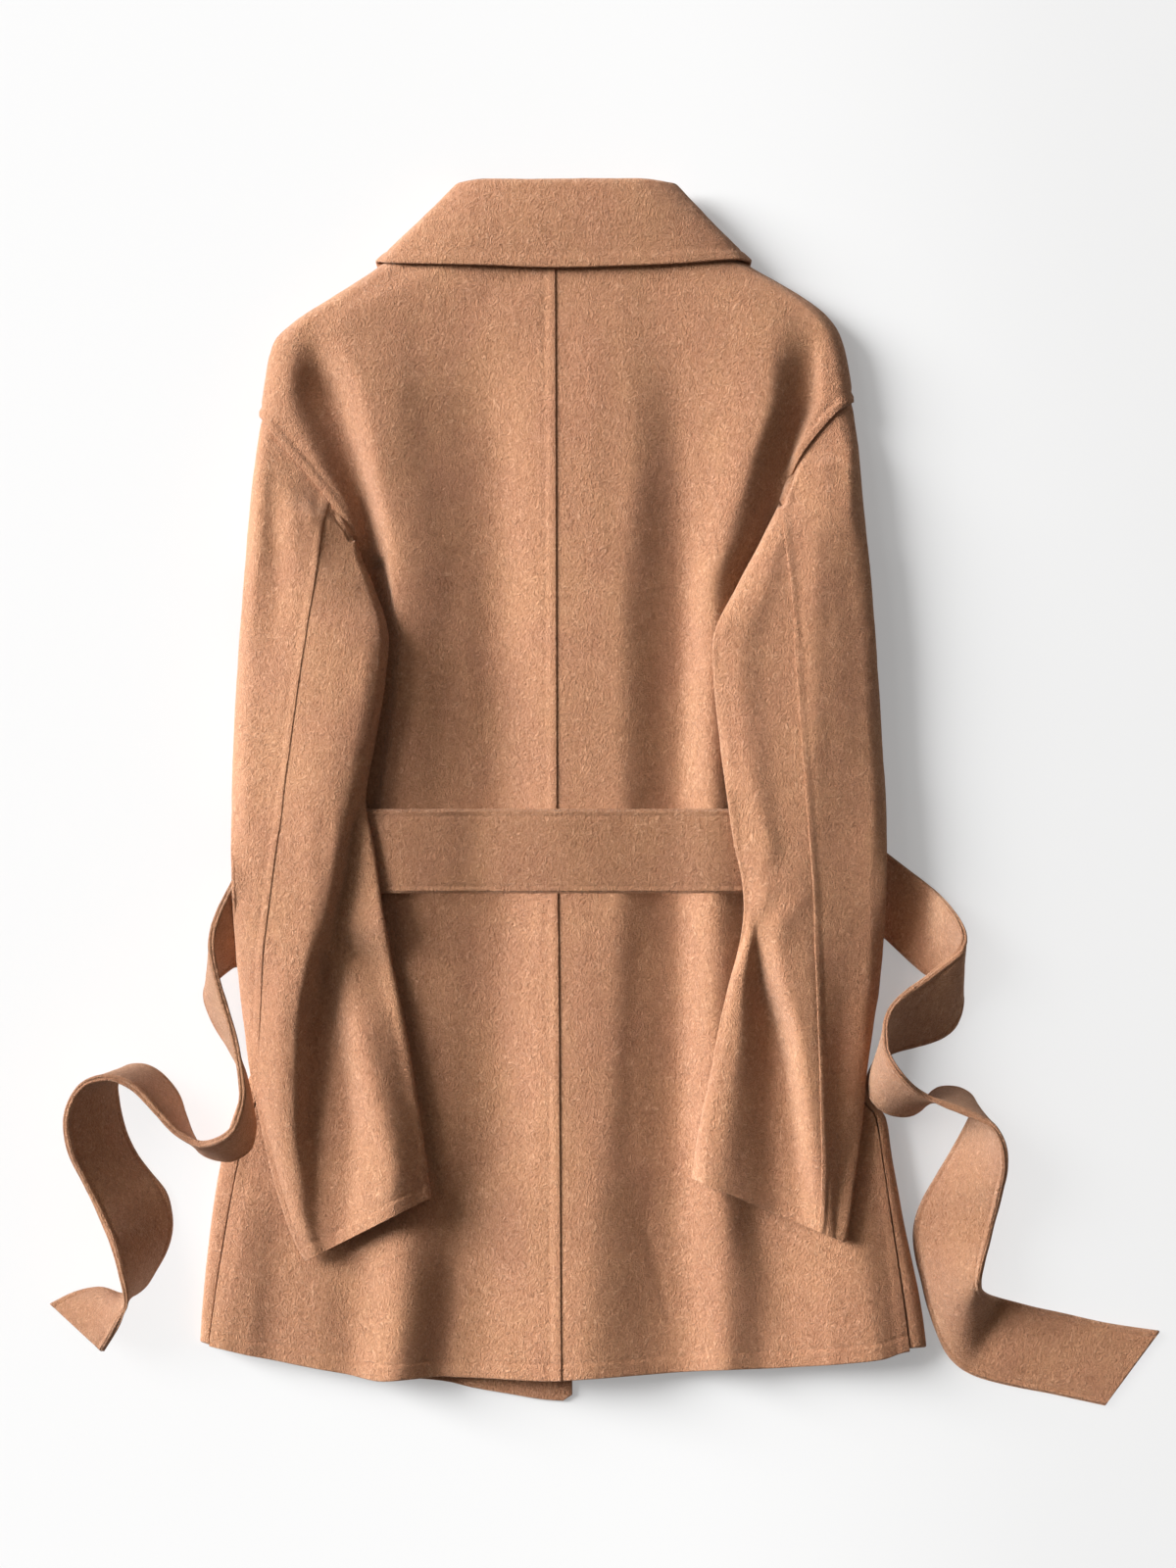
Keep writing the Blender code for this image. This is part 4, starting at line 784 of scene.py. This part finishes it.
def back_relief(left):
    def f(p):
        px, py = grid_of(p)
        d = (table(CENTRE_SEAM, py) - px) * (1 if left else -1)
        h = lap(d, 9.5, 0.85) if left else -0.25 * np.exp(-(d / 3.5) ** 2)
        side = (px - table(EDGE_L, py)) if left else (table(EDGE_R, py) - px)      # side seam cord
        h = h + 0.65 * (1 - ease((side - 4.0) / 4.0)) * ease((py - 1080.0) / 40.0)
        a = line_distance(px, py, ARM_L if left else ARM_R)
        h = h + lap(a, 9.0, 1.25) * (1.0 if left else 1 - 0.6 * ease((py - 470.0) / 30.0))
        h = h + creases(px, py)
        if left:                       # hollow beside the sleeve's inner fold
            s = line_distance(px, py, [(386, 575), (402, 650), (397, 700), (388, 760), (378, 830)])
            h = h - 3.6 * np.exp(-(s / 6.0) ** 2)
            s = line_distance(px, py, [(399, 930), (411, 1010), (428, 1100), (442, 1190), (446, 1216)])
            h = h - 1.8 * np.exp(-(s / 5.0) ** 2)
        hem = table(HEM, px) - py
        h = h + 0.3 * (1 - ease((hem - 14) / 3)) - 0.4 * np.exp(-((hem - 17) / 1.8) ** 2)
        return h
    return f


def sleeve_relief(rows, left, inner):
    t = np.asarray(rows, float)
    k = t[:, 4]
    elbow = list(zip(t[:, 0] + (t[:, 2] - t[:, 0]) * k, t[:, 1] + (t[:, 3] - t[:, 1]) * k))
    cuff = [(t[-1, 0], t[-1, 1]), (t[-1, 2], t[-1, 3])]

    def f(p):
        px, py = grid_of(p)
        top = ease((p[..., 2] * 1000 - 19.0) / 3.0)
        e = line_distance(px, py, elbow)
        h = (-0.1 * np.exp(-(e / 3) ** 2)) if inner else lap(e, 6.5, 0.6)
        a = line_distance(px, py, ARM_L if left else ARM_R)
        if left:
            h = h * (1 - ease((py - 1030.0) / 60.0))
        h = h * top - (0.8 if left else 0.35) * np.exp(-(a / 4.5) ** 2) * (1 - ease((py - 490.0) / 35.0))
        c = line_distance(px, py, cuff)
        h = h + 0.25 * (1 - ease((c - 11) / 3)) - 0.35 * np.exp(-((c - 14) / 1.8) ** 2)
        if left and inner:
            s = line_distance(px, py, [(355, 1081), (377, 1150), (396, 1211)])
            h = h - 0.35 * np.exp(-(s / 1.8) ** 2) + 0.2 * np.exp(-((s - 4) / 2.5) ** 2)
        return h
    return f


# ---------------------------------------------------------------- meshes
def normals(p):
    n = np.cross(np.gradient(p, axis=0), np.gradient(p, axis=1))
    return n / np.maximum(np.linalg.norm(n, axis=2, keepdims=True), 1e-12)


RIM = (0.0, 0.08, 0.3, 0.62, 1.0)


def rims(p, r, axis):
    """Adds lines of points near both ends of an axis, and gives how full the
    thickness is at each line (0 at the edge, 1 beyond the round)."""
    p = np.moveaxis(p, axis, 0)
    full = []
    out = []
    for end in (0, -1):
        a, b = p[end], p[1 if end == 0 else -2]
        length = np.linalg.norm(b - a, axis=-1, keepdims=True)
        lines = [a + (b - a) * np.minimum(f * r[0 if end == 0 else 1] / np.maximum(length, 1e-9), 0.8)
                 for f in RIM]
        out.append(lines)
        full.append([math.sqrt(1 - (1 - f) ** 2) for f in RIM])
    first, last = out[0], out[1][::-1]
    q = np.concatenate([np.array(first), p[1:-1], np.array(last)])
    e = np.concatenate([full[0], np.ones(len(p) - 2), full[1][::-1]])
    return np.moveaxis(q, 0, axis), e


def shell(name, p, up, thick=WALL, rim=(0.0012,) * 4, relief=None, uneven=1.0, deep=(1,) * 4):
    """A closed sheet of cloth with round edges; p is its outer face.
    up = (row part, column part, direction) says which way p faces there."""
    p, er = rims(p, rim[0:2], 0)
    p, ec = rims(p, rim[2:4], 1)
    for e, (d0, d1) in ((er, deep[0:2]), (ec, deep[2:4])):       # sewn edges turn down less
        e[:5] = 1 - d0 * (1 - e[:5])
        e[-5:] = 1 - d1 * (1 - e[-5:])
    n = normals(p)
    i, j = int(up[0] * (p.shape[0] - 1)), int(up[1] * (p.shape[1] - 1))
    flip = n[i, j, 2] * up[2] < 0
    if flip:
        n = -n
    h = np.zeros(p.shape[:2])
    if relief is not None:
        h = h + relief(p)
    h = h + uneven * (0.35 * noise3(p, 0.034) + 0.22 * noise3(p, 0.013) + 0.10 * noise3(p, 0.0045))
    keep = ease((p[..., 2] * 1000 + 0.4 - 0.0) / 3.0)
    h = h * keep
    p = p + n * h[..., None] * 0.001
    e = (er[:, None] * ec[None, :])[..., None]
    half = 0.5 * thick
    outer = p - n * half * (1 - e)
    inner = p - n * (thick - half * (1 - e))
    rows, cols = p.shape[:2]
    io = np.arange(rows * cols).reshape(rows, cols)
    ii = io.copy()
    ii[1:-1, 1:-1] = rows * cols + np.arange((rows - 2) * (cols - 2)).reshape(rows - 2, cols - 2)
    verts = np.concatenate([outer.reshape(-1, 3), inner[1:-1, 1:-1].reshape(-1, 3)])
    verts[:, 2] = np.maximum(verts[:, 2], 0.0)

    def quads(g):
        return np.stack([g[:-1, :-1], g[1:, :-1], g[1:, 1:], g[:-1, 1:]], axis=-1).reshape(-1, 4)
    fo, fi = quads(io), quads(ii)[:, ::-1]
    faces = np.concatenate([fo, fi])
    if flip:
        faces = faces[:, ::-1]
    return mesh_of(name, verts, faces)


def mesh_of(name, verts, faces):
    mesh = bpy.data.meshes.new(name)
    mesh.vertices.add(len(verts))
    mesh.vertices.foreach_set("co", np.ascontiguousarray(verts, np.float32).ravel())
    mesh.loops.add(faces.size)
    mesh.loops.foreach_set("vertex_index", np.ascontiguousarray(faces, np.int32).ravel())
    mesh.polygons.add(len(faces))
    mesh.polygons.foreach_set("loop_start", np.arange(0, faces.size, faces.shape[1], dtype=np.int32))
    mesh.polygons.foreach_set("loop_total", np.full(len(faces), faces.shape[1], np.int32))
    mesh.update(calc_edges=True)
    mesh.validate()
    mesh.shade_smooth()
    ob = bpy.data.objects.new(name, mesh)
    bpy.context.scene.collection.objects.link(ob)
    return ob


def spread(a, b, step, near=(3.0, 7.0)):
    """Places from a to b about step apart, closer at both ends."""
    s = 1.0 if b > a else -1.0
    length = abs(b - a)
    inner = np.linspace(near[1] + 2, length - near[1] - 2, max(3, int(length / step)))
    t = np.concatenate([[0.0], near, inner, [length - near[1], length - near[0], length]])
    return a + s * t


def layout_rows(y0, y1, step, near=(3.0, 7.0)):
    return spread(y0, y1, step, near)


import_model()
made = {}

# ---------------------------------------------------------------- back
for name, left in (("back_left", True), ("back_right", False)):
    t = np.linspace(0, 1, 76)
    grid = []
    for q in np.concatenate([np.arange(250.0, 1380.0, 5.0), np.arange(1381.0, 1408.0, 1.6), [1409.5, 1412.0]]):
        cb = float(table(CENTRE_SEAM, q)) + (-TIGHT if left else TIGHT)
        e = float(table(EDGE_L if left else EDGE_R, q)) + (seam_gap(q, left) - SEAM + TIGHT) * (1 if left else -1)
        length = abs(cb - e)
        near = np.array([0.0, 2.6, 5.0, 7.5, 10.0, 12.5])
        mid = np.linspace(15.5, length - 15.5, 64)
        d = np.concatenate([near, mid, (length - near)[::-1]])
        px = e + d * (1 if left else -1)
        grid.append(place(px, q + hem_shift(q, px), back_z(q, px)))
    made[name] = shell("cloth_" + name, np.array(grid), (0.5, 0.5, 1),
                       rim=(0.0012, 0.0012, 0.0006, 0.0006), relief=back_relief(left),
                       deep=(1, 1, 0.25, 0.25))

# ---------------------------------------------------------------- fronts
for name, left in (("front_left", True), ("front_right", False)):
    grid = [front_row(q, left, 14, 40) for q in
            np.concatenate([np.arange(258.0, 1404.0, 6.0), [1408.0, 1412.0]])]
    made[name] = shell("cloth_" + name, np.array(grid), (0.5, 0.6, -1), uneven=0.6,
                       rim=(0.0012, 0.0012, 0.0009, 0.0012), deep=(1, 1, 0.3, 1))

# ---------------------------------------------------------------- sleeves
for side, rows in (("left", SLEEVE_L), ("right", SLEEVE_R)):
    left = side == "left"
    sl = Fine(rows, left)
    at = np.concatenate([np.arange(0.02, 3.0, 0.07), np.arange(3.0, sl.n - 1.001, 0.09)])
    ends = sl.n - 1 - np.array([0.12, 0.05, 0.0])
    at = np.concatenate([at[at < ends[0] - 0.02], ends])
    for part, inner in (("outer", False), ("inner", True)):
        p = sl.strip(at, (np.linspace(0, 1, 44), np.linspace(0, 1, 30)), TIGHT, inner)
        n = p.shape[1]
        keep = [1] + list(range(3, n - 3)) + [n - 2]
        node = "sleeve_%s_%s" % (side, part)
        made[node] = shell("cloth_" + node, p[:, keep], (0.5, 0.12, 1),
                           rim=(0.0006, 0.0012, 0.0006, 0.0006),
                           relief=sleeve_relief(rows, left, inner), deep=(0.3, 1, 0.25, 0.25))


# ---------------------------------------------------------------- collar
def collar_relief(p):
    d = np.concatenate([np.zeros((p.shape[0], 1)),
                        np.cumsum(np.linalg.norm(np.diff(p, axis=1), axis=2), axis=1)], axis=1)
    d = d * 1000
    px, py = grid_of(p)
    k = ease((p[..., 2] * 1000 - 20.0) / 8.0)
    arch = np.cos(np.clip((px - 598.0) / 150.0, -1, 1) * np.pi / 2)
    lift = arch * k * (0.4 + 1.6 * ease((255.0 - py) / 45.0))
    return (lift + 0.3 * (1 - ease((d - 8.0) / 2)) - 0.4 * np.exp(-((d - 10.0) / 1.5) ** 2))


grid = np.array([collar_row(s, 30, 11, 12) for s in np.arange(0.0, 16.001, 0.08)])
made["collar"] = shell("cloth_collar", grid, (0.5, 0.2, 1), relief=collar_relief)

# ---------------------------------------------------------------- belt
tops, lows = belt_edges()
count = len(tops)
s = [0.0]
for i in range(count - 1):
    gap = max(np.linalg.norm(tops[i + 1] - tops[i]), np.linalg.norm(lows[i + 1] - lows[i]))
    k = max(2, int(round(gap / 0.0034)))
    s += list(i + np.arange(1, k + 1) / k)
s = np.array(s)
ta, lb = through(tops, s), through(lows, s)
across = lb - ta
across = across / np.linalg.norm(across, axis=1, keepdims=True)
mid = 0.5 * (ta + lb)
along = np.gradient(mid, axis=0)
face = np.cross(along, -across)
face /= np.linalg.norm(face, axis=1, keepdims=True)
half_w = 0.5 * np.linalg.norm(lb - ta, axis=1)
half_t = BELT_WALL * 0.5
# outline of the strip: two layers with a crease between them at each edge
ring = []
IN = (0.0, 1.0, 2.2, 3.3, 4.2, 5.0, 5.8, 6.8, 8.5, 12.0, 17.0, 23.0)      # mm from an edge
for edge in IN + (BELT_WIDE * 500,) + IN[::-1]:
    x = (1 if len(ring) > len(IN) else -1) * (1 - edge / (BELT_WIDE * 500))
    ring.append((x, 1.0 - 0.26 * math.exp(-((edge - 5.0) / 1.0) ** 2)
                 + 0.12 * math.exp(-((edge - 2.4) / 1.6) ** 2), 0.0))
lip = []
for ang in np.linspace(80, -62, 6):
    lip.append((1.0, 0.5 + 0.5 * math.sin(math.radians(ang)), math.cos(math.radians(ang)) * 0.0011))
lip_low = [(x, -y, z) for x, y, z in lip[::-1]]
upper = [(x, y, 0.0) for x, y, z in ring]
upper = [(x, y, -0.0) for x, y, z in upper]
right_edge = lip + lip_low
shape = []
for x, y, z in upper:
    shape.append((x * (1 - 0.0011 / (BELT_WIDE / 2)) if abs(x) == 1 else x, y, 0.0))
shape += [(1.0, y, z - 0.0011) for x, y, z in right_edge]
for x, y, z in upper[::-1]:
    shape.append((x * (1 - 0.0011 / (BELT_WIDE / 2)) if abs(x) == 1 else x, -y, 0.0))
shape += [(-1.0, -y, -(z - 0.0011)) for x, y, z in right_edge]
shape = np.array(shape)
verts = (mid[:, None, :]
         + across[:, None, :] * (shape[None, :, 0, None] * half_w[:, None, None] + shape[None, :, 2, None])
         + face[:, None, :] * shape[None, :, 1, None] * half_t)
h = 0.3 * noise3(verts, 0.03) + 0.15 * noise3(verts, 0.011) + 0.08 * noise3(verts, 0.0045)
verts = verts + (h * 0.001 * np.sign(shape[None, :, 1]))[..., None] * face[:, None, :]
m = verts.shape[1]
flat = verts.reshape(-1, 3)
g = np.arange(len(s) * m).reshape(len(s), m)
g2 = np.roll(g, -1, axis=1)
faces = np.stack([g[:-1], g2[:-1], g2[1:], g[1:]], axis=-1).reshape(-1, 4)
ca, cb = len(flat), len(flat) + 1
flat = np.concatenate([flat, [mid[0], mid[-1]]])
cap = [(g[0, j], ca, ca, g2[0, j]) for j in range(m)]
tri_a = [(int(g[0, j]), ca, int(g2[0, j])) for j in range(m)]
tri_b = [(int(g[-1, j]), int(g2[-1, j]), cb) for j in range(m)]
flat[:, 2] = np.maximum(flat[:, 2], 0.0)
mesh = bpy.data.meshes.new("cloth_belt")
mesh.from_pydata([tuple(v) for v in flat], [], [tuple(int(k) for k in f) for f in faces] + tri_a + tri_b)
bm = bmesh.new()
bm.from_mesh(mesh)
bmesh.ops.recalc_face_normals(bm, faces=bm.faces)
if bm.calc_volume(signed=True) < 0:
    bmesh.ops.reverse_faces(bm, faces=bm.faces)
bm.to_mesh(mesh)
bm.free()
mesh.shade_smooth()
made["belt"] = bpy.data.objects.new("cloth_belt", mesh)
bpy.context.scene.collection.objects.link(made["belt"])


# ---------------------------------------------------------------- wool
def wool(name, seed):
    """Brushed camel wool: short fuzzy streaks of nap, soft clouds of colour."""
    mat = bpy.data.materials.new(name)
    mat.use_nodes = True
    nt = mat.node_tree
    nt.nodes.clear()
    new, link = nt.nodes.new, nt.links.new
    out = new("ShaderNodeOutputMaterial")
    b = new("ShaderNodeBsdfPrincipled")
    link(b.outputs["BSDF"], out.inputs["Surface"])
    b.inputs["Roughness"].default_value = 0.88
    b.inputs["Specular IOR Level"].default_value = 0.22
    b.inputs["Sheen Weight"].default_value = 0.38
    b.inputs["Sheen Roughness"].default_value = 0.5
    b.inputs["Sheen Tint"].default_value = (1.0, 0.84, 0.70, 1.0)
    co = new("ShaderNodeTexCoord")

    def noise(scale, detail, rough, warp, turn=0.0, shift=0.0):
        mp = new("ShaderNodeMapping")
        mp.inputs["Scale"].default_value = scale
        mp.inputs["Rotation"].default_value = (0, 0, turn)
        mp.inputs["Location"].default_value = (shift + seed, shift * 2, seed)
        link(co.outputs["Object"], mp.inputs["Vector"])
        nz = new("ShaderNodeTexNoise")
        nz.inputs["Scale"].default_value = 1.0
        nz.inputs["Detail"].default_value = detail
        nz.inputs["Roughness"].default_value = rough
        nz.inputs["Distortion"].default_value = warp
        link(mp.outputs["Vector"], nz.inputs["Vector"])
        return nz.outputs["Fac"]

    def math_node(op, a, c, clamp=False):
        m = new("ShaderNodeMath")
        m.operation = op
        m.use_clamp = clamp
        for i, v in enumerate((a, c)):
            if isinstance(v, (int, float)):
                m.inputs[i].default_value = v
            else:
                link(v, m.inputs[i])
        return m.outputs[0]

    streak = noise((270, 200, 240), 3.0, 0.62, 1.9, 0.25)
    streak2 = noise((400, 280, 340), 3.0, 0.6, 1.6, -0.5, 5.0)
    fuzz = noise((1300, 900, 1100), 2.0, 0.6, 0.5)
    cloud = noise((26, 17, 24), 3.0, 0.55, 0.4)
    nap = math_node("ADD", math_node("MULTIPLY", streak, 0.55), math_node("MULTIPLY", streak2, 0.45))
    nap = math_node("ADD", nap, math_node("MULTIPLY", math_node("SUBTRACT", fuzz, 0.5), 0.25))
    ramp = new("ShaderNodeValToRGB")
    ramp.color_ramp.interpolation = "EASE"
    stops = ((0.33, (0.340, 0.144, 0.069)), (0.45, (0.458, 0.212, 0.110)),
             (0.54, (0.527, 0.257, 0.140)), (0.67, (0.690, 0.384, 0.240)))
    while len(ramp.color_ramp.elements) < len(stops):
        ramp.color_ramp.elements.new(0.5)
    for el, (pos, col) in zip(ramp.color_ramp.elements, stops):
        el.position = pos
        el.color = (*col, 1.0)
    link(nap, ramp.inputs["Fac"])
    tint = new("ShaderNodeValToRGB")
    tint.color_ramp.elements[0].position = 0.35
    tint.color_ramp.elements[0].color = (0.965, 0.93, 0.945, 1)
    tint.color_ramp.elements[1].position = 0.65
    tint.color_ramp.elements[1].color = (1.03, 1.035, 1.0, 1)
    link(cloud, tint.inputs["Fac"])
    mix = new("ShaderNodeMix")
    mix.data_type = "RGBA"
    mix.blend_type = "MULTIPLY"
    mix.inputs["Factor"].default_value = 1.0
    link(ramp.outputs["Color"], mix.inputs["A"])
    link(tint.outputs["Color"], mix.inputs["B"])
    link(mix.outputs["Result"], b.inputs["Base Color"])
    high = math_node("ADD", nap, math_node("MULTIPLY", fuzz, 0.3))
    bump = new("ShaderNodeBump")
    bump.inputs["Strength"].default_value = 0.95
    bump.inputs["Distance"].default_value = 0.0040
    link(high, bump.inputs["Height"])
    link(bump.outputs["Normal"], b.inputs["Normal"])
    return mat


cloth = wool("camel_wool_nap", 3.0)
belt_cloth = wool("camel_wool_belt", 8.0)


def cloth_area(ob):
    me = ob.data
    a = np.empty(len(me.polygons))
    me.polygons.foreach_get("area", a)
    return float(a.sum()) * 0.5


for node, ob in made.items():
    ob.data.materials.append(belt_cloth if node == "belt" else cloth)
    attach(ob, "root")
    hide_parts(node)
    area = cloth_area(ob)

# ---------------------------------------------------------------- floor, light, camera
mesh = bpy.data.meshes.new("floor")
mesh.from_pydata([(-6, -6, -0.0006), (6, -6, -0.0006), (6, 6, -0.0006), (-6, 6, -0.0006)], [], [(0, 1, 2, 3)])
floor = bpy.data.objects.new("floor", mesh)
bpy.context.scene.collection.objects.link(floor)
mat = bpy.data.materials.new("pale_floor")
mat.use_nodes = True
nt = mat.node_tree
b = nt.nodes["Principled BSDF"]
b.inputs["Roughness"].default_value = 0.7
b.inputs["Specular IOR Level"].default_value = 0.1
# painted light: the floor glows a little though it is no lamp, paling the shadows cast on it
b.inputs["Emission Color"].default_value = (0.97, 0.985, 1.0, 1.0)
co = nt.nodes.new("ShaderNodeTexCoord")
nz = nt.nodes.new("ShaderNodeTexNoise")
nz.inputs["Scale"].default_value = 1.6
nz.inputs["Detail"].default_value = 2.0
nt.links.new(co.outputs["Object"], nz.inputs["Vector"])
ramp = nt.nodes.new("ShaderNodeValToRGB")
ramp.color_ramp.elements[0].color = (0.494, 0.496, 0.501, 1)
ramp.color_ramp.elements[1].color = (0.508, 0.509, 0.513, 1)
nt.links.new(nz.outputs["Fac"], ramp.inputs["Fac"])
sep = nt.nodes.new("ShaderNodeSeparateXYZ")
nt.links.new(co.outputs["Object"], sep.inputs[0])
painted_far_shade = nt.nodes.new("ShaderNodeMapRange")               # painted shade: the floor is a little darker towards the far side, away from the key light
painted_far_shade.inputs["From Min"].default_value = 0.02
painted_far_shade.inputs["From Max"].default_value = 0.42
painted_far_shade.inputs["To Min"].default_value = 1.0
painted_far_shade.inputs["To Max"].default_value = 0.90
painted_far_shade.interpolation_type = "SMOOTHSTEP"
nt.links.new(sep.outputs["X"], painted_far_shade.inputs["Value"])
shade = nt.nodes.new("ShaderNodeVectorMath")
shade.operation = "SCALE"
nt.links.new(ramp.outputs["Color"], shade.inputs[0])
nt.links.new(painted_far_shade.outputs["Result"], shade.inputs["Scale"])
nt.links.new(shade.outputs["Vector"], b.inputs["Base Color"])
# painted light: strength of the floor's glow, fainter towards the far side like its colour
painted_floor_glow = nt.nodes.new("ShaderNodeMath")
painted_floor_glow.operation = "MULTIPLY"
painted_floor_glow.inputs[1].default_value = 0.305
nt.links.new(painted_far_shade.outputs["Result"], painted_floor_glow.inputs[0])
nt.links.new(painted_floor_glow.outputs[0], b.inputs["Emission Strength"])
floor.data.materials.append(mat)

scene = bpy.context.scene
world = bpy.data.worlds.new("soft_world")
scene.world = world
world.use_nodes = True
bg = world.node_tree.nodes["Background"]
bg.inputs["Color"].default_value = (1.0, 0.86, 0.73, 1.0)
bg.inputs["Strength"].default_value = 0.15


def sun(name, towards, strength, angle, colour=(1, 1, 1), clear=None, only=None, spare=None):
    data = bpy.data.lights.new(name, "SUN")
    data.energy = strength
    data.angle = math.radians(angle)
    data.color = colour
    ob = bpy.data.objects.new(name, data)
    ob.rotation_euler = Vector(towards).to_track_quat("Z", "Y").to_euler()
    scene.collection.objects.link(ob)
    if clear is not None:                  # what this light passes without a shadow
        group = bpy.data.collections.new(name + "_clear")
        group.objects.link(clear)
        group.collection_objects[0].light_linking.link_state = "EXCLUDE"
        ob.light_linking.blocker_collection = group
    if only is not None or spare is not None:          # what this light falls on
        group = bpy.data.collections.new(name + "_lit")
        group.objects.link(only or spare)
        group.collection_objects[0].light_linking.link_state = "INCLUDE" if only else "EXCLUDE"
        ob.light_linking.receiver_collection = group


sun("key", (-0.86, 0.32, 0.36), 8.8, 30, (0.995, 1.0, 0.995), made["belt"], None, made["belt"])
sun("belt_key", (-0.78, 0.32, 0.44), 5.5, 30, (0.995, 1.0, 0.995), None, made["belt"])
sun("side", (-0.70, 0.36, 0.60), 0.75, 30, (0.995, 1.0, 0.995))
sun("fill", (-0.1, 0.5, 1.0), 0.12, 60, (1.0, 1.0, 1.0))

cam = bpy.data.cameras.new("camera")
cam.sensor_fit = "VERTICAL"
cam.sensor_height = 36.0
cam.lens = 36.0 * EYE / (1600 * STEP)
cam.clip_end = 20.0
camera = bpy.data.objects.new("camera", cam)
camera.location = (-CENTRE[0], -CENTRE[1], EYE)
scene.collection.objects.link(camera)
scene.camera = camera
scene.view_settings.view_transform = "Standard"
